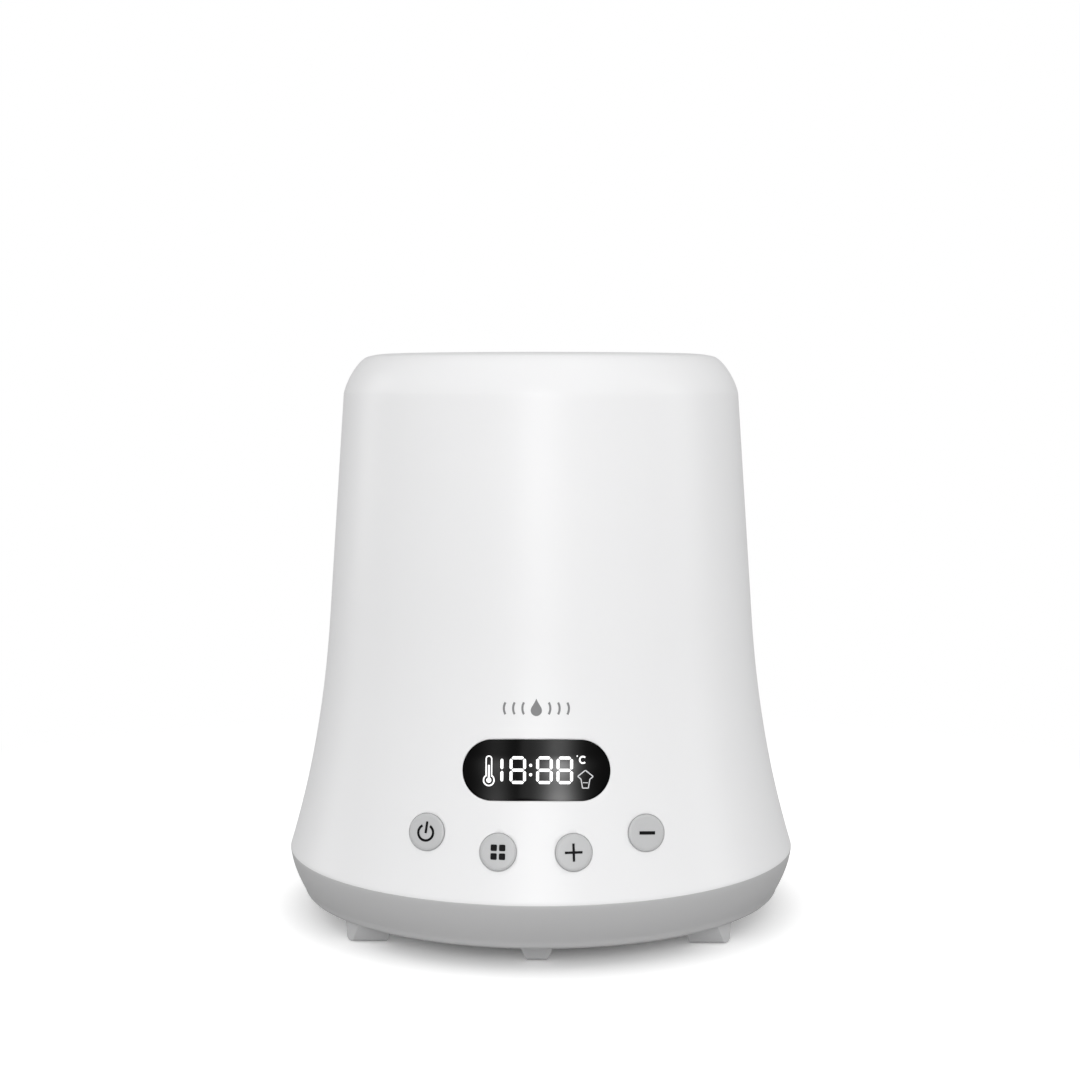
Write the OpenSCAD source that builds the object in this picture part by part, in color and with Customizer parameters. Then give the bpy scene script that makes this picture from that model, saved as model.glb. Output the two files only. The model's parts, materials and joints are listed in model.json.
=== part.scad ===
// Bottle warmer: a flared round housing over a heated water tank, with a lift-out basket,
// a lit display, four push keys and six feet.
// +Z is up, the front (display and keys) faces -Y, and the origin is on the table under the axis.

/* [Housing] */
// Widest diameter, where the shell meets the base pan
base_d = 144; // [138:1:174]
// Height from the table to the top of the rim
overall_h = 158.5; // [132:0.5:192]
// Diameter just under the rounded shoulder
shoulder_d = 114; // [112:0.5:138]
// Height of the rounded shoulder
shoulder_h = 11.5; // [9:0.5:14]
// Width of the rounded shoulder
shoulder_w = 6.8; // [5:0.1:7]
// How far the rim rises from the shoulder to the mouth
crown_h = 0.8; // [0.2:0.1:1.5]
// Growth in radius per millimetre down the straight part of the side
side_taper = 0.06; // [0.03:0.01:0.08]
// Height at which the side begins to flare out
flare_top = 85; // [70:1:100]
// How sharply the flare curves
flare_power = 2.2; // [1.8:0.1:3]
// Height of the seam between shell and base pan
seam_z = 18.2; // [17:0.1:21]
// Wall of the shell and the pan
wall = 2.4; // [2:0.1:2.9]
// Radius on the two edges that meet at the seam
seam_edge_r = 0.5; // [0.3:0.1:0.8]
// Gap between moulded parts that fit into each other
fit_gap = 0.15; // [0.1:0.05:0.3]

/* [Base pan and feet] */
// Gap under the pan, which is the height of the feet
foot_h = 5.6; // [4:0.1:7]
// How far the pan draws in from the seam to its floor
pan_tuck = 5; // [3:0.5:8]
// How sharply the side of the pan curves in
pan_tuck_power = 1.6; // [1.2:0.1:2]
// Radius of the lower edge of the pan
pan_edge_r = 1.6; // [1:0.1:2.5]
// Distance of the front and rear feet from the axis
foot_ring_r = 52; // [48:0.5:54]
// Distance of the four corner feet to each side of the axis
foot_side_x = 45.6; // [42:0.2:46]
// Distance of the four corner feet ahead of and behind the axis
foot_side_y = 39.2; // [35:0.2:40]
// Length of a foot, along the radius
foot_len = 12; // [8:0.5:14]
// Width of a foot at the pan
foot_top_w = 10.5; // [8:0.5:11]
// Width of a foot at the table
foot_tip_w = 3.9; // [3:0.1:5]
// Number of vent slots in the pan's floor
vent_count = 9; // [5:2:11]
// Width of a vent slot
vent_w = 2.2; // [1.5:0.1:3]
// Length of a vent slot
vent_len = 26; // [16:1:36]

/* [Water tank and heater] */
// Inside diameter of the tank and of the mouth
well_d = 84; // [70:1:86]
// Wall of the tank
tank_wall = 1.8; // [1.4:0.1:2.2]
// Height of the hot plate's upper face above the table
hotplate_h = 66; // [64:0.5:80]
// Distance from the tank's wall in to the raised part of the hot plate
plate_ledge = 10; // [9:0.5:16]
// Thickness of the hot plate
plate_t = 2.4; // [1.8:0.1:3]
// Depth of the collar that hangs inside the rim
collar_h = 9; // [7:0.5:12]
// Thickness of the seal between the collar and the tank
rim_seal_t = 1.6; // [1:0.1:2.5]
// Diameter of the heating element's tube
element_d = 7; // [5:0.5:8]
// Distance from the raised part's edge in to the middle of the heating element's tube
element_inset = 11; // [10:0.5:12]

/* [Lift basket] */
// Distance from the tank's wall in to the inside of the basket
basket_inset = 4.5; // [3.5:0.25:12]
// Wall of the basket
basket_wall = 1.6; // [1.2:0.1:2]
// Height of the legs under the basket
basket_leg_h = 4; // [3:0.5:6]
// Distance from the rim of the housing down to the basket's band
basket_drop = 20; // [16:1:26]
// Height of the plain band at the top of the basket
basket_band_h = 20; // [12:1:28]
// Number of slots round the basket
basket_slots = 12; // [8:1:16]
// Width of a basket slot
basket_slot_w = 9; // [6:0.5:10]
// Angle that each lifting tab covers
tab_angle = 44; // [30:1:60]

/* [Control panel] */
// Height of the panel's centre above the table
panel_z = 40; // [38:0.5:44]
// Distance from the outer surface back to the panel's datum plane
panel_setback = 16.2; // [15:0.1:20]
// Distance from the datum plane back to the control board
board_setback = 4.5; // [4:0.1:6]
// Width of the display window
window_w = 38.2; // [34:0.1:42]
// Height of the display window
window_h = 15.5; // [13:0.1:17]
// Height of the window's centre above the panel's centre
window_y = 7.7; // [7:0.1:9]
// Depth of the window below the surface of the shell
window_inset = 0.15; // [0:0.05:0.4]
// Diameter of a key
key_d = 9.6; // [8:0.1:10.5]
// Gap round a key
key_gap = 0.2; // [0.15:0.05:0.3]
// How far a key stands out of the shell
key_proud = 0.7; // [0.4:0.1:1]
// Travel of a key when it is pressed
key_travel = 0.8; // [0.4:0.1:0.9]
// Radius of the arc that the keys lie on
key_arc_r = 77; // [70:1:90]
// Angle from one key to the next along that arc
key_pitch = 14.4; // [13.5:0.1:15]
// Depth of the arc's lowest point below the panel's centre
key_arc_drop = 13.4; // [13:0.1:15]

/* [Power supply] */
// Height of the power board above the table
power_board_z = 15; // [14:0.5:18]
// Width of the power board
power_board_w = 76; // [70:1:80]
// Depth of the power board
power_board_l = 60; // [56:1:64]
// Thickness of the circuit boards
pcb_t = 1.6; // [1:0.1:2]
// Diameter of the hole for the mains lead
cord_hole_d = 6.4; // [5:0.1:7]
// Height of the mains lead's hole above the table
gland_z = 12; // [12:0.1:12.5]

/* [Hidden] */
$fn = 96;
eps = 0.01;
base_r = base_d / 2;
well_r = well_d / 2;
plate_d = well_d - 2 * plate_ledge;
plate_r = plate_d / 2;
element_ring_r = plate_r - element_inset;
bottle_room_d = well_d - 2 * basket_inset;
room_r = bottle_room_d / 2;
shoulder_r = shoulder_d / 2;
shoulder_z = overall_h - shoulder_h;
flare_w = base_r - shoulder_r - side_taper * (shoulder_z - seam_z);
pan_z = foot_h;
floor_z = pan_z + wall;
top_wall = wall + crown_h;
under_rim_z = overall_h - top_wall;
lip_r = 2;
collar_z = overall_h - collar_h;
collar_r = well_r + wall;

// Screws: shaft radius, head radius and head height
big_screw = [1.45, 2.8, 2];
small_screw = [1.05, 2.1, 1.5];
screw_gap = 0.05;
head_gap = 0.3;

// Housing screws, as angles from the front and a distance from the axis
post_angles = [65, 115, 245, 295];
post_ring_r = base_r - 11.5;
post_r = 4.2;
post_top_z = seam_z + 3;
lip_h = 3.8;
boss_r = 3.7;
boss_h = 20;
head_recess_z = pan_z + 5.4;

// Feet: where each one stands and how it is turned
foot_spots = [
    [0, -foot_ring_r, 0], [foot_side_x, -foot_side_y, 90], [foot_side_x, foot_side_y, 90],
    [0, foot_ring_r, 180], [-foot_side_x, foot_side_y, 270], [-foot_side_x, -foot_side_y, 270]
];
foot_count = len(foot_spots);
foot_peg_in = 2;

// Tank
tank_top_z = collar_z - rim_seal_t;
flange_t = 2;
lug_angles = [60, 180, 300];
lug_ring_r = collar_r + 4.4;
lug_r = 3.3;
ledge_t = 2.4;
plate_gap = 0.3;
plate_flange_t = 1.4;
plate_flange_r = plate_r + 4.4;
plate_seal_t = 1;
clamp_t = 1.4;
clamp_top_z = hotplate_h - ledge_t - plate_seal_t - plate_flange_t;
clamp_ring_r = well_r - 2.6;
clamp_boss_r = 2.4;
clamp_angles = [45, 135, 225, 315];
plate_under_z = hotplate_h - plate_t;
stud_r = 1.5;
stud_h = 6.4;
nut_h = 1.4;
nut_r = 2.8;
clip_t = 0.6;
clip_z = plate_under_z - 4.2 - clip_t;
braze_w = 6.4;
braze_h = 1.6;
cutout_pos = [0, -3.5];
cutout_r = 7.4;
cutout_stud_x = 10.5;
cutout_ear_z = plate_under_z - 3;
sensor_pos = [0, 12.5];
sensor_r = 2.4;
sensor_h = 7;
sensor_stud = [8.5, 11];
element_gap_angle = 40;
terminal_r = 1.6;
terminal_len = 10;

// Basket
basket_r = room_r + basket_wall;
basket_floor_z = hotplate_h + basket_leg_h;
basket_floor_t = 2;
basket_top_z = overall_h - basket_drop;
basket_rim_t = 2.2;
basket_rim_r = well_r - 1;
tab_top_z = overall_h - 4;
slot_z0 = basket_floor_z + 8;
slot_z1 = basket_top_z - basket_band_h;
leg_ring_r = room_r - 2.4;

// Panel: the tilt is the slope of the surface between the keys and the window's top
function outer_r(z) = shoulder_r + side_taper * (shoulder_z - z)
    + flare_w * pow(max(0, flare_top - z) / (flare_top - seam_z), flare_power);
slope_span = 20;
panel_tilt = atan((outer_r(panel_z - slope_span / 2) - outer_r(panel_z + slope_span / 2)) / slope_span);
panel_y = outer_r(panel_z) - panel_setback;

// Distance from the panel's datum plane out to a surface that lies inset behind the shell's face
function face_at(x, y, inset, n = 8, z = 14) = n == 0 ? z
    : face_at(x, y, inset, n - 1,
        (sqrt(pow(outer_r(panel_z + y * cos(panel_tilt) + z * sin(panel_tilt)) - inset, 2) - x * x)
            - panel_y + y * sin(panel_tilt)) / cos(panel_tilt));

board_z = -board_setback;
board_w = 76;
board_y0 = -19.2;
board_y1 = 15.5;
board_holes = [for (x = [-34.5, 34.5], y = [-15.6, 11.9]) [x, y]];
holder_w = window_w + 1.4;
holder_h = window_h - 0.5;
holder_top = face_at(holder_w / 2, window_y, wall) - 2.9;
holder_wall = 1.4;
display_t = 6;
segment_block = [34, 11.4];
switch_w = 6;
switch_h = 3.5;
plunger_r = 1.7;
plunger_h = 1.6;
plunger_bore_depth = 2.6;
key_flange_r = key_d / 2 + 1.3;
key_flange_t = 1;
key_stem_r = 1.9;
key_names = ["power", "mode", "plus", "minus"];
key_angles = [for (i = [-1.5 : 1 : 1.5]) i * key_pitch];
key_positions = [for (a = key_angles) [key_arc_r * sin(a), key_arc_r * (1 - cos(a)) - key_arc_drop]];
plunger_top = board_z + switch_h + plunger_h;

// Highest plane at which a key's flange clears the inside of the shell
function flange_top(p) = min([
    for (d = [[1, 0], [-1, 0], [0, 1], [0, -1]])
        face_at(p[0] + d[0] * key_flange_r, p[1] + d[1] * key_flange_r, wall)
]) - 0.5;

// Cord gland and clamp
gland_bore_r = cord_hole_d / 2;
gland_neck_r = gland_bore_r + 1.1;
gland_collar_r = gland_bore_r + 2.2;
gland_collar_t = 2.6;
gland_wall_t = 3;
gland_seat_y = base_r - 3;
gland_inner_t = 2.4;
clamp_post_x = 9.5;
clamp_bar = [26, 6, 4];
clamp_y = foot_ring_r - foot_len / 2 - clamp_bar[1] / 2;

// Power board parts
power_board_y = 4;
board_post_x = power_board_w / 2 - 5;
board_post_y = power_board_l / 2 - 5;
board_post_r = 3;
power_top_z = power_board_z + pcb_t;
outlet_block = [9, 12, 9];
outlet_block_pos = [29, 8];
sensor_block = [8, 6, 6];
sensor_block_pos = [0, 28];
ribbon_block = [16, 5, 6];
ribbon_block_y = -20;
ribbon_w = 12;
ribbon_t = 1;

// ---------- helpers ----------

// Points on a cubic curve through four control points, without its first point
function bezier(p0, p1, p2, p3, steps) = [
    for (i = [1 : steps]) let (t = i / steps, u = 1 - t)
        u * u * u * p0 + 3 * u * u * t * p1 + 3 * u * t * t * p2 + t * t * t * p3
];

// Points on an arc, both ends included
function arc(centre, r, a0, a1, steps) = [
    for (i = [0 : steps]) let (a = a0 + (a1 - a0) * i / steps) centre + r * [cos(a), sin(a)]
];

// Places something at an angle from the front and a distance from the axis
module at_angle(a, r) {
    rotate([0, 0, a]) translate([0, -r, 0]) children();
}

// The panel's own frame: x across, y up the slope, z out of the shell
module in_panel() {
    translate([0, -panel_y, panel_z]) rotate([90 - panel_tilt, 0, 0]) children();
}

// A round tube standing on z0
module tube(r_out, r_in, z0, z1) {
    translate([0, 0, z0]) difference() {
        cylinder(r = r_out, h = z1 - z0);
        translate([0, 0, -1]) cylinder(r = r_in, h = z1 - z0 + 2);
    }
}

// A pan-head screw with its head under z = 0 and its shaft pointing up
module screw(size, len) {
    rotate_extrude() polygon(concat(
        [[0, len], [0, -size[2] * 0.45]],
        [[size[1] * 0.4, -size[2] * 0.45], [size[1] * 0.4, -size[2]]],
        arc([size[1] - size[2] * 0.5, -size[2] * 0.5], size[2] * 0.5, -90, 0, 4),
        [[size[1], 0], [size[0], 0], [size[0], len - 1], [size[0] * 0.5, len]]
    ));
}

// A flat plate with rounded corners
module rounded_plate(w, l, r, t) {
    linear_extrude(t) union() {
        square([w - 2 * r, l], center = true);
        square([w, l - 2 * r], center = true);
        for (x = [-1, 1], y = [-1, 1]) translate([x * (w / 2 - r), y * (l / 2 - r)]) circle(r);
    }
}

// A pill-shaped plane figure
module pill(w, h) {
    square([w - h, h], center = true);
    for (x = [-1, 1]) translate([x * (w - h) / 2, 0]) circle(d = h);
}

// A round tube along a route, made as one closed polyhedron with eight sides
function unit(v) = v / norm(v);
function spline_point(p, i, t) = let (
    a = p[max(i - 1, 0)], b = p[i], c = p[i + 1], d = p[min(i + 2, len(p) - 1)]
) 0.5 * (2 * b + (c - a) * t + (2 * a - 5 * b + 4 * c - d) * t * t + (3 * b - a - 3 * c + d) * t * t * t);
function smooth_route(p, steps) = concat(
    [for (i = [0 : len(p) - 2], s = [0 : steps - 1]) spline_point(p, i, s / steps)], [p[len(p) - 1]]
);
module lead(route, d, steps = 4) {
    sides = 8;
    path = smooth_route(route, steps);
    last = len(path) - 1;
    dirs = [for (i = [0 : last]) i == 0 ? unit(route[1] - route[0])
        : i == last ? unit(route[len(route) - 1] - route[len(route) - 2])
        : unit(path[i + 1] - path[i - 1])];
    across = [for (v = dirs) unit(cross(v, abs(v[2]) > 0.9 ? [0, 1, 0] : [0, 0, 1]))];
    up = unit_frames(dirs, [across[0]], 1);
    rings = [for (i = [0 : last], k = [0 : sides - 1]) let (a = 360 * k / sides)
        path[i] + d / 2 * (cos(a) * up[i] + sin(a) * cross(dirs[i], up[i]))];
    walls = [for (i = [0 : last - 1], k = [0 : sides - 1]) let (n = (k + 1) % sides)
        [i * sides + k, i * sides + n, (i + 1) * sides + n, (i + 1) * sides + k]];
    polyhedron(points = rings, faces = concat(
        [[for (k = [sides - 1 : -1 : 0]) k]], walls, [[for (k = [0 : sides - 1]) last * sides + k]]
    ));
}
// Carries one sideways direction along a route without twisting it
function unit_frames(dirs, done, i) = i == len(dirs) ? done
    : let (prev = done[i - 1], flat = prev - (prev * dirs[i]) * dirs[i])
        unit_frames(dirs, concat(done, [unit(flat)]), i + 1);

// ---------- housing ----------

side_steps = 22;
function side_points(inset) = [
    for (i = [0 : side_steps]) let (z = seam_z + (shoulder_z - seam_z) * pow(i / side_steps, 1.25))
        [outer_r(z) - inset, z]
];

// The solid that the shell's lower outside encloses, drawn in by inset, for cutting panel parts to shape
module side_solid(inset) {
    z1 = panel_z + 45;
    rotate_extrude() polygon(concat(
        [[0, seam_z]],
        [for (i = [0 : side_steps]) let (z = seam_z + (z1 - seam_z) * i / side_steps) [outer_r(z) - inset, z]],
        [[0, z1]]
    ));
}

module shell_skin() {
    shoulder_out = bezier(
        [shoulder_r, shoulder_z],
        [shoulder_r - 0.06 * shoulder_w, shoulder_z + 0.26 * shoulder_h],
        [shoulder_r - 0.53 * shoulder_w, shoulder_z + 0.81 * shoulder_h],
        [shoulder_r - shoulder_w, overall_h - crown_h], 9);
    crown_r = well_r + lip_r;
    crown_end_r = shoulder_r - shoulder_w;
    crown = [for (i = [1 : 4]) let (t = 1 - i / 4)
        [crown_r + (crown_end_r - crown_r) * t, overall_h - crown_h * t * t]];
    lip = arc([crown_r, overall_h - lip_r], lip_r, 90, 180, 6);
    shoulder_in = bezier(
        [shoulder_r - wall, shoulder_z],
        [shoulder_r - wall - 0.06 * shoulder_w, shoulder_z + 0.2 * shoulder_h],
        [shoulder_r - wall - 0.4 * shoulder_w, under_rim_z - 0.1 * shoulder_h],
        [shoulder_r - wall - 0.8 * shoulder_w, under_rim_z], 6);
    side_out = [for (p = side_points(0)) if (p[1] > seam_z + seam_edge_r) p];
    side_in = side_points(wall);
    rotate_extrude() polygon(concat(
        arc([base_r - seam_edge_r, seam_z + seam_edge_r], seam_edge_r, -90, 0, 4),
        side_out, shoulder_out, crown, [for (i = [1 : 6]) lip[i]],
        [[well_r, collar_z], [collar_r, collar_z], [collar_r, under_rim_z]],
        [for (i = [5 : -1 : 0]) shoulder_in[i]],
        [for (i = [side_steps : -1 : 0]) side_in[i]]
    ));
}

// Screw bosses inside the shell's lower edge, each held by a rib
module shell_bosses() {
    intersection() {
        union() for (a = post_angles) at_angle(a, post_ring_r) {
            translate([0, 0, post_top_z]) cylinder(r = boss_r, h = boss_h);
            translate([-1, -12, seam_z + lip_h + 0.6]) cube([2, 12, boss_h - 1.6]);
        }
        side_solid(wall / 2);
    }
}

// Posts that carry the control board
module panel_posts() {
    intersection() {
        in_panel() for (p = board_holes) translate([p[0], p[1], board_z]) cylinder(r = 2.8, h = 24);
        side_solid(wall / 2);
    }
}

module outer_shell() color("whitesmoke") difference() {
    union() {
        shell_skin();
        shell_bosses();
        panel_posts();
        for (a = lug_angles) at_angle(a, lug_ring_r)
            translate([0, 0, tank_top_z]) cylinder(r = lug_r - 0.1, h = under_rim_z - tank_top_z + 0.6);
    }
    for (a = post_angles) at_angle(a, post_ring_r)
        translate([0, 0, post_top_z - 1]) cylinder(r = big_screw[0] + screw_gap, h = boss_h - 1);
    for (a = lug_angles) at_angle(a, lug_ring_r)
        translate([0, 0, tank_top_z - 1]) cylinder(r = small_screw[0] + screw_gap, h = 6.5);
    in_panel() {
        translate([0, window_y, holder_top]) linear_extrude(20) pill(window_w, window_h);
        for (p = key_positions) translate([p[0], p[1], 0]) cylinder(d = key_d + 2 * key_gap, h = 30);
        for (p = board_holes) translate([p[0], p[1], board_z - 1])
            cylinder(r = small_screw[0] + screw_gap, h = 7);
    }
}

// ---------- base pan ----------

module pan_skin() {
    side_n = 9;
    outside = [for (i = [0 : side_n]) let (
        s = i / side_n,
        z = seam_z - seam_edge_r - (seam_z - seam_edge_r - pan_z - pan_edge_r) * s,
        f = (seam_z - z) / (seam_z - pan_z)
    ) [base_r - pan_tuck * pow(f, pan_tuck_power), z]];
    low = outside[side_n];
    inside = [for (i = [side_n : -1 : 0]) if (outside[i][1] > floor_z + 0.5) [outside[i][0] - wall, outside[i][1]]];
    lip_out = outer_r(seam_z + 4) - wall - fit_gap;
    lip_in = lip_out - 1.6;
    rotate_extrude() polygon(concat(
        [[0, pan_z]],
        arc([low[0] - pan_edge_r, pan_z + pan_edge_r], pan_edge_r, -90, 0, 5),
        [for (i = [side_n - 1 : -1 : 1]) outside[i]],
        arc([base_r - seam_edge_r, seam_z - seam_edge_r], seam_edge_r, 0, 90, 4),
        [[lip_out, seam_z], [lip_out, seam_z + lip_h - 0.4], [lip_out - 0.4, seam_z + lip_h],
         [lip_in, seam_z + lip_h],
         [lip_in, seam_z - 2]],
        [for (i = [len(inside) - 1 : -1 : 0]) if (inside[i][1] < seam_z - 4) inside[i]],
        [[low[0] - wall, floor_z], [0, floor_z]]
    ));
}

// Flat seat inside the skirt for the cord gland
module gland_pad() {
    intersection() {
        translate([-9, gland_seat_y - gland_wall_t, floor_z - 1]) cube([18, 8, seam_z - floor_z]);
        rotate_extrude() polygon([
            [0, pan_z], [base_r - pan_tuck - pan_edge_r, pan_z], [base_r - pan_tuck * 0.8, pan_z + wall],
            [base_r - wall / 2, seam_z], [0, seam_z]
        ]);
    }
}

module cord_cradle() {
    difference() {
        union() {
            translate([-clamp_bar[0] / 2, clamp_y - clamp_bar[1] / 2, floor_z - 1])
                cube([clamp_bar[0], clamp_bar[1], gland_z - floor_z + 1]);
        }
        translate([0, clamp_y - 10, gland_z]) rotate([-90, 0, 0]) cylinder(r = gland_bore_r, h = 20);
        for (x = [-1, 1]) translate([x * clamp_post_x, clamp_y, floor_z])
            cylinder(r = small_screw[0] + screw_gap, h = 10);
    }
}

module base_pan() color("silver") difference() {
    union() {
        pan_skin();
        gland_pad();
        cord_cradle();
        for (a = post_angles) at_angle(a, post_ring_r)
            translate([0, 0, pan_z + wall / 2]) cylinder(r = post_r, h = post_top_z - pan_z - wall / 2);
        for (x = [-1, 1], y = [-1, 1])
            translate([x * board_post_x, power_board_y + y * board_post_y, pan_z + wall / 2])
                cylinder(r = board_post_r, h = power_board_z - pan_z - wall / 2);
    }
    for (a = post_angles) at_angle(a, post_ring_r) {
        translate([0, 0, pan_z - 1]) cylinder(r = big_screw[1] + head_gap, h = head_recess_z - pan_z + 1);
        translate([0, 0, pan_z]) cylinder(r = big_screw[0] + 0.2, h = 30);
    }
    for (x = [-1, 1], y = [-1, 1])
        translate([x * board_post_x, power_board_y + y * board_post_y, power_board_z - 6])
            cylinder(r = small_screw[0] + screw_gap, h = 7);
    for (p = foot_spots) at_foot(p)
        translate([0, foot_peg_in, pan_z - 1]) cylinder(r = foot_peg_r + screw_gap, h = wall + 2);
    for (i = [0 : vent_count - 1])
        translate([(i - (vent_count - 1) / 2) * vent_w * 2.2, 0, pan_z - 1])
            translate([-vent_w / 2, -vent_len / 2, 0]) cube([vent_w, vent_len, wall + 2]);
    translate([0, gland_seat_y - gland_wall_t - 1, gland_z]) rotate([-90, 0, 0])
        cylinder(r = gland_neck_r + 0.1, h = 12);
    translate([0, gland_seat_y, gland_z]) rotate([-90, 0, 0]) cylinder(r = gland_collar_r + 0.1, h = 10);
    translate([0, gland_seat_y - gland_wall_t - 4, gland_z]) rotate([-90, 0, 0])
        cylinder(r = gland_collar_r - 0.2, h = 4);
}

// ---------- feet ----------

foot_peg_r = 2;
foot_tip_r = 1.2;

module at_foot(p) translate([p[0], p[1], 0]) rotate([0, 0, p[2]]) children();

module foot(i) color("gainsboro") {
    intersection() {
        at_foot(foot_spots[i]) foot_pad();
        cylinder(r = base_r - pan_tuck - pan_edge_r - 0.2, h = foot_h, $fn = 192);
    }
    at_foot(foot_spots[i]) translate([0, foot_peg_in, 0]) {
        translate([0, 0, foot_h - eps]) cylinder(r = foot_peg_r, h = wall + 0.2 + eps);
        translate([0, 0, foot_h + wall + 0.1]) cylinder(r1 = foot_peg_r + 0.9, r2 = foot_peg_r + 0.5, h = 0.6);
    }
}

module foot_pad() {
    intersection() {
        rotate([90, 0, 0]) linear_extrude(foot_len + 4, center = true) polygon(concat(
            [[-foot_top_w / 2, foot_h]],
            arc([-foot_tip_w / 2, foot_tip_r], foot_tip_r, 210, 270, 4),
            arc([foot_tip_w / 2, foot_tip_r], foot_tip_r, -90, -30, 4),
            [[foot_top_w / 2, foot_h]]
        ));
        rotate([90, 0, 90]) linear_extrude(foot_top_w + 4, center = true) polygon(concat(
            [[-foot_len / 2 - 0.6, foot_h]],
            arc([-foot_len / 2 + 1, 1], 1, 190, 270, 4),
            arc([foot_len / 2 - 1.6, 1], 1, -90, -20, 4),
            [[foot_len / 2 + 0.6, foot_h]]
        ));
    }
}

module base_screws() color("gray") for (a = post_angles) at_angle(a, post_ring_r)
    translate([0, 0, head_recess_z]) screw(big_screw, boss_h + post_top_z - head_recess_z - 6);

// ---------- mains lead entry ----------

module cord_gland() color("dimgray") translate([0, gland_seat_y, gland_z]) rotate([-90, 0, 0])
    rotate_extrude() polygon(concat(
        [[gland_bore_r, -gland_wall_t - gland_inner_t], [gland_bore_r, gland_collar_t]],
        arc([gland_collar_r - 1, gland_collar_t - 1], 1, 90, 0, 5),
        [[gland_collar_r, 0], [gland_neck_r, 0], [gland_neck_r, -gland_wall_t - 0.1],
         [gland_collar_r - 0.6, -gland_wall_t - 0.1], [gland_neck_r, -gland_wall_t - gland_inner_t]]
    ));

module cord_clamp() color("white") difference() {
    translate([-clamp_bar[0] / 2, clamp_y - clamp_bar[1] / 2, gland_z + 0.2]) cube(clamp_bar);
    translate([0, clamp_y - 10, gland_z]) rotate([-90, 0, 0]) cylinder(r = gland_bore_r, h = 20);
    for (x = [-1, 1]) translate([x * clamp_post_x, clamp_y, gland_z - 1]) cylinder(r = small_screw[0] + 0.2, h = 10);
}

module cord_clamp_screws() color("gray") for (x = [-1, 1])
    translate([x * clamp_post_x, clamp_y, gland_z + 0.2 + clamp_bar[2]]) rotate([180, 0, 0])
        screw(small_screw, clamp_bar[2] + 2.8);

// ---------- water tank and heater ----------

module water_tank() color("white") difference() {
    union() {
        rotate_extrude() polygon([
            [well_r, tank_top_z], [well_r, hotplate_h + 1.2], [well_r - 1.2, hotplate_h],
            [plate_r + plate_gap, hotplate_h], [plate_r + plate_gap, hotplate_h - ledge_t],
            [well_r + tank_wall - 1, hotplate_h - ledge_t], [well_r + tank_wall, hotplate_h - ledge_t + 1],
            [well_r + tank_wall, tank_top_z - flange_t], [well_r + 5, tank_top_z - flange_t],
            [well_r + 5, tank_top_z]
        ]);
        for (a = lug_angles) at_angle(a, lug_ring_r)
            translate([0, 0, tank_top_z - flange_t]) cylinder(r = lug_r, h = flange_t - 0.1);
        for (a = clamp_angles) at_angle(a, clamp_ring_r)
            translate([0, 0, clamp_top_z]) cylinder(r = clamp_boss_r, h = hotplate_h - clamp_top_z - 1);
    }
    for (a = lug_angles) at_angle(a, lug_ring_r)
        translate([0, 0, tank_top_z - flange_t - 1]) cylinder(r = small_screw[0] + 0.2, h = flange_t + 2);
    for (a = clamp_angles) at_angle(a, clamp_ring_r)
        translate([0, 0, clamp_top_z - 1]) cylinder(r = small_screw[0] + screw_gap, h = 4.6);
}

module tank_screws() color("gray") for (a = lug_angles) at_angle(a, lug_ring_r)
    translate([0, 0, tank_top_z - flange_t]) screw(small_screw, 6.8);

module rim_seal() color("lightgray") rotate_extrude() polygon([
    [well_r + 0.3, tank_top_z], [collar_r + 0.8, tank_top_z], [collar_r + 0.8, collar_z + 1.2],
    [collar_r + 0.1, collar_z + 1.2], [collar_r + 0.1, collar_z], [well_r + 0.3, collar_z]
]);

module heating_plate() color("darkgray") {
    rotate_extrude() polygon([
        [0, hotplate_h], [plate_r - 0.8, hotplate_h], [plate_r, hotplate_h - 0.8],
        [plate_r, clamp_top_z + plate_flange_t], [plate_flange_r, clamp_top_z + plate_flange_t],
        [plate_flange_r, clamp_top_z], [plate_r - plate_t, clamp_top_z], [plate_r - plate_t, plate_under_z],
        [0, plate_under_z]
    ]);
    for (p = [[-cutout_stud_x, cutout_pos[1]], [cutout_stud_x, cutout_pos[1]], sensor_stud])
        translate([p[0], p[1], plate_under_z - stud_h]) cylinder(r = stud_r, h = stud_h + 0.6);
    // Brazed bead that holds the element
    rotate_extrude() translate([element_ring_r, plate_under_z]) difference() {
        translate([-braze_w / 2, -braze_h]) square([braze_w, braze_h + 0.6]);
        translate([0, -element_d / 2]) circle(r = element_d / 2 + 0.03);
    }
}

module plate_seal() color("white") tube(plate_flange_r - 0.5, plate_r + 0.6,
    clamp_top_z + plate_flange_t, hotplate_h - ledge_t);

module heater_clamp() color("silver") difference() {
    union() {
        tube(plate_flange_r, plate_r - plate_t + 0.5, clamp_top_z - clamp_t, clamp_top_z);
        for (a = clamp_angles) at_angle(a, clamp_ring_r)
            translate([0, 0, clamp_top_z - clamp_t]) cylinder(r = 3.4, h = clamp_t - 0.05);
    }
    for (a = clamp_angles) at_angle(a, clamp_ring_r)
        translate([0, 0, clamp_top_z - clamp_t - 1]) cylinder(r = small_screw[0] + 0.2, h = clamp_t + 2);
}

module clamp_screws() color("gray") for (a = clamp_angles) at_angle(a, clamp_ring_r)
    translate([0, 0, clamp_top_z - clamp_t]) screw(small_screw, 4.6);

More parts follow.
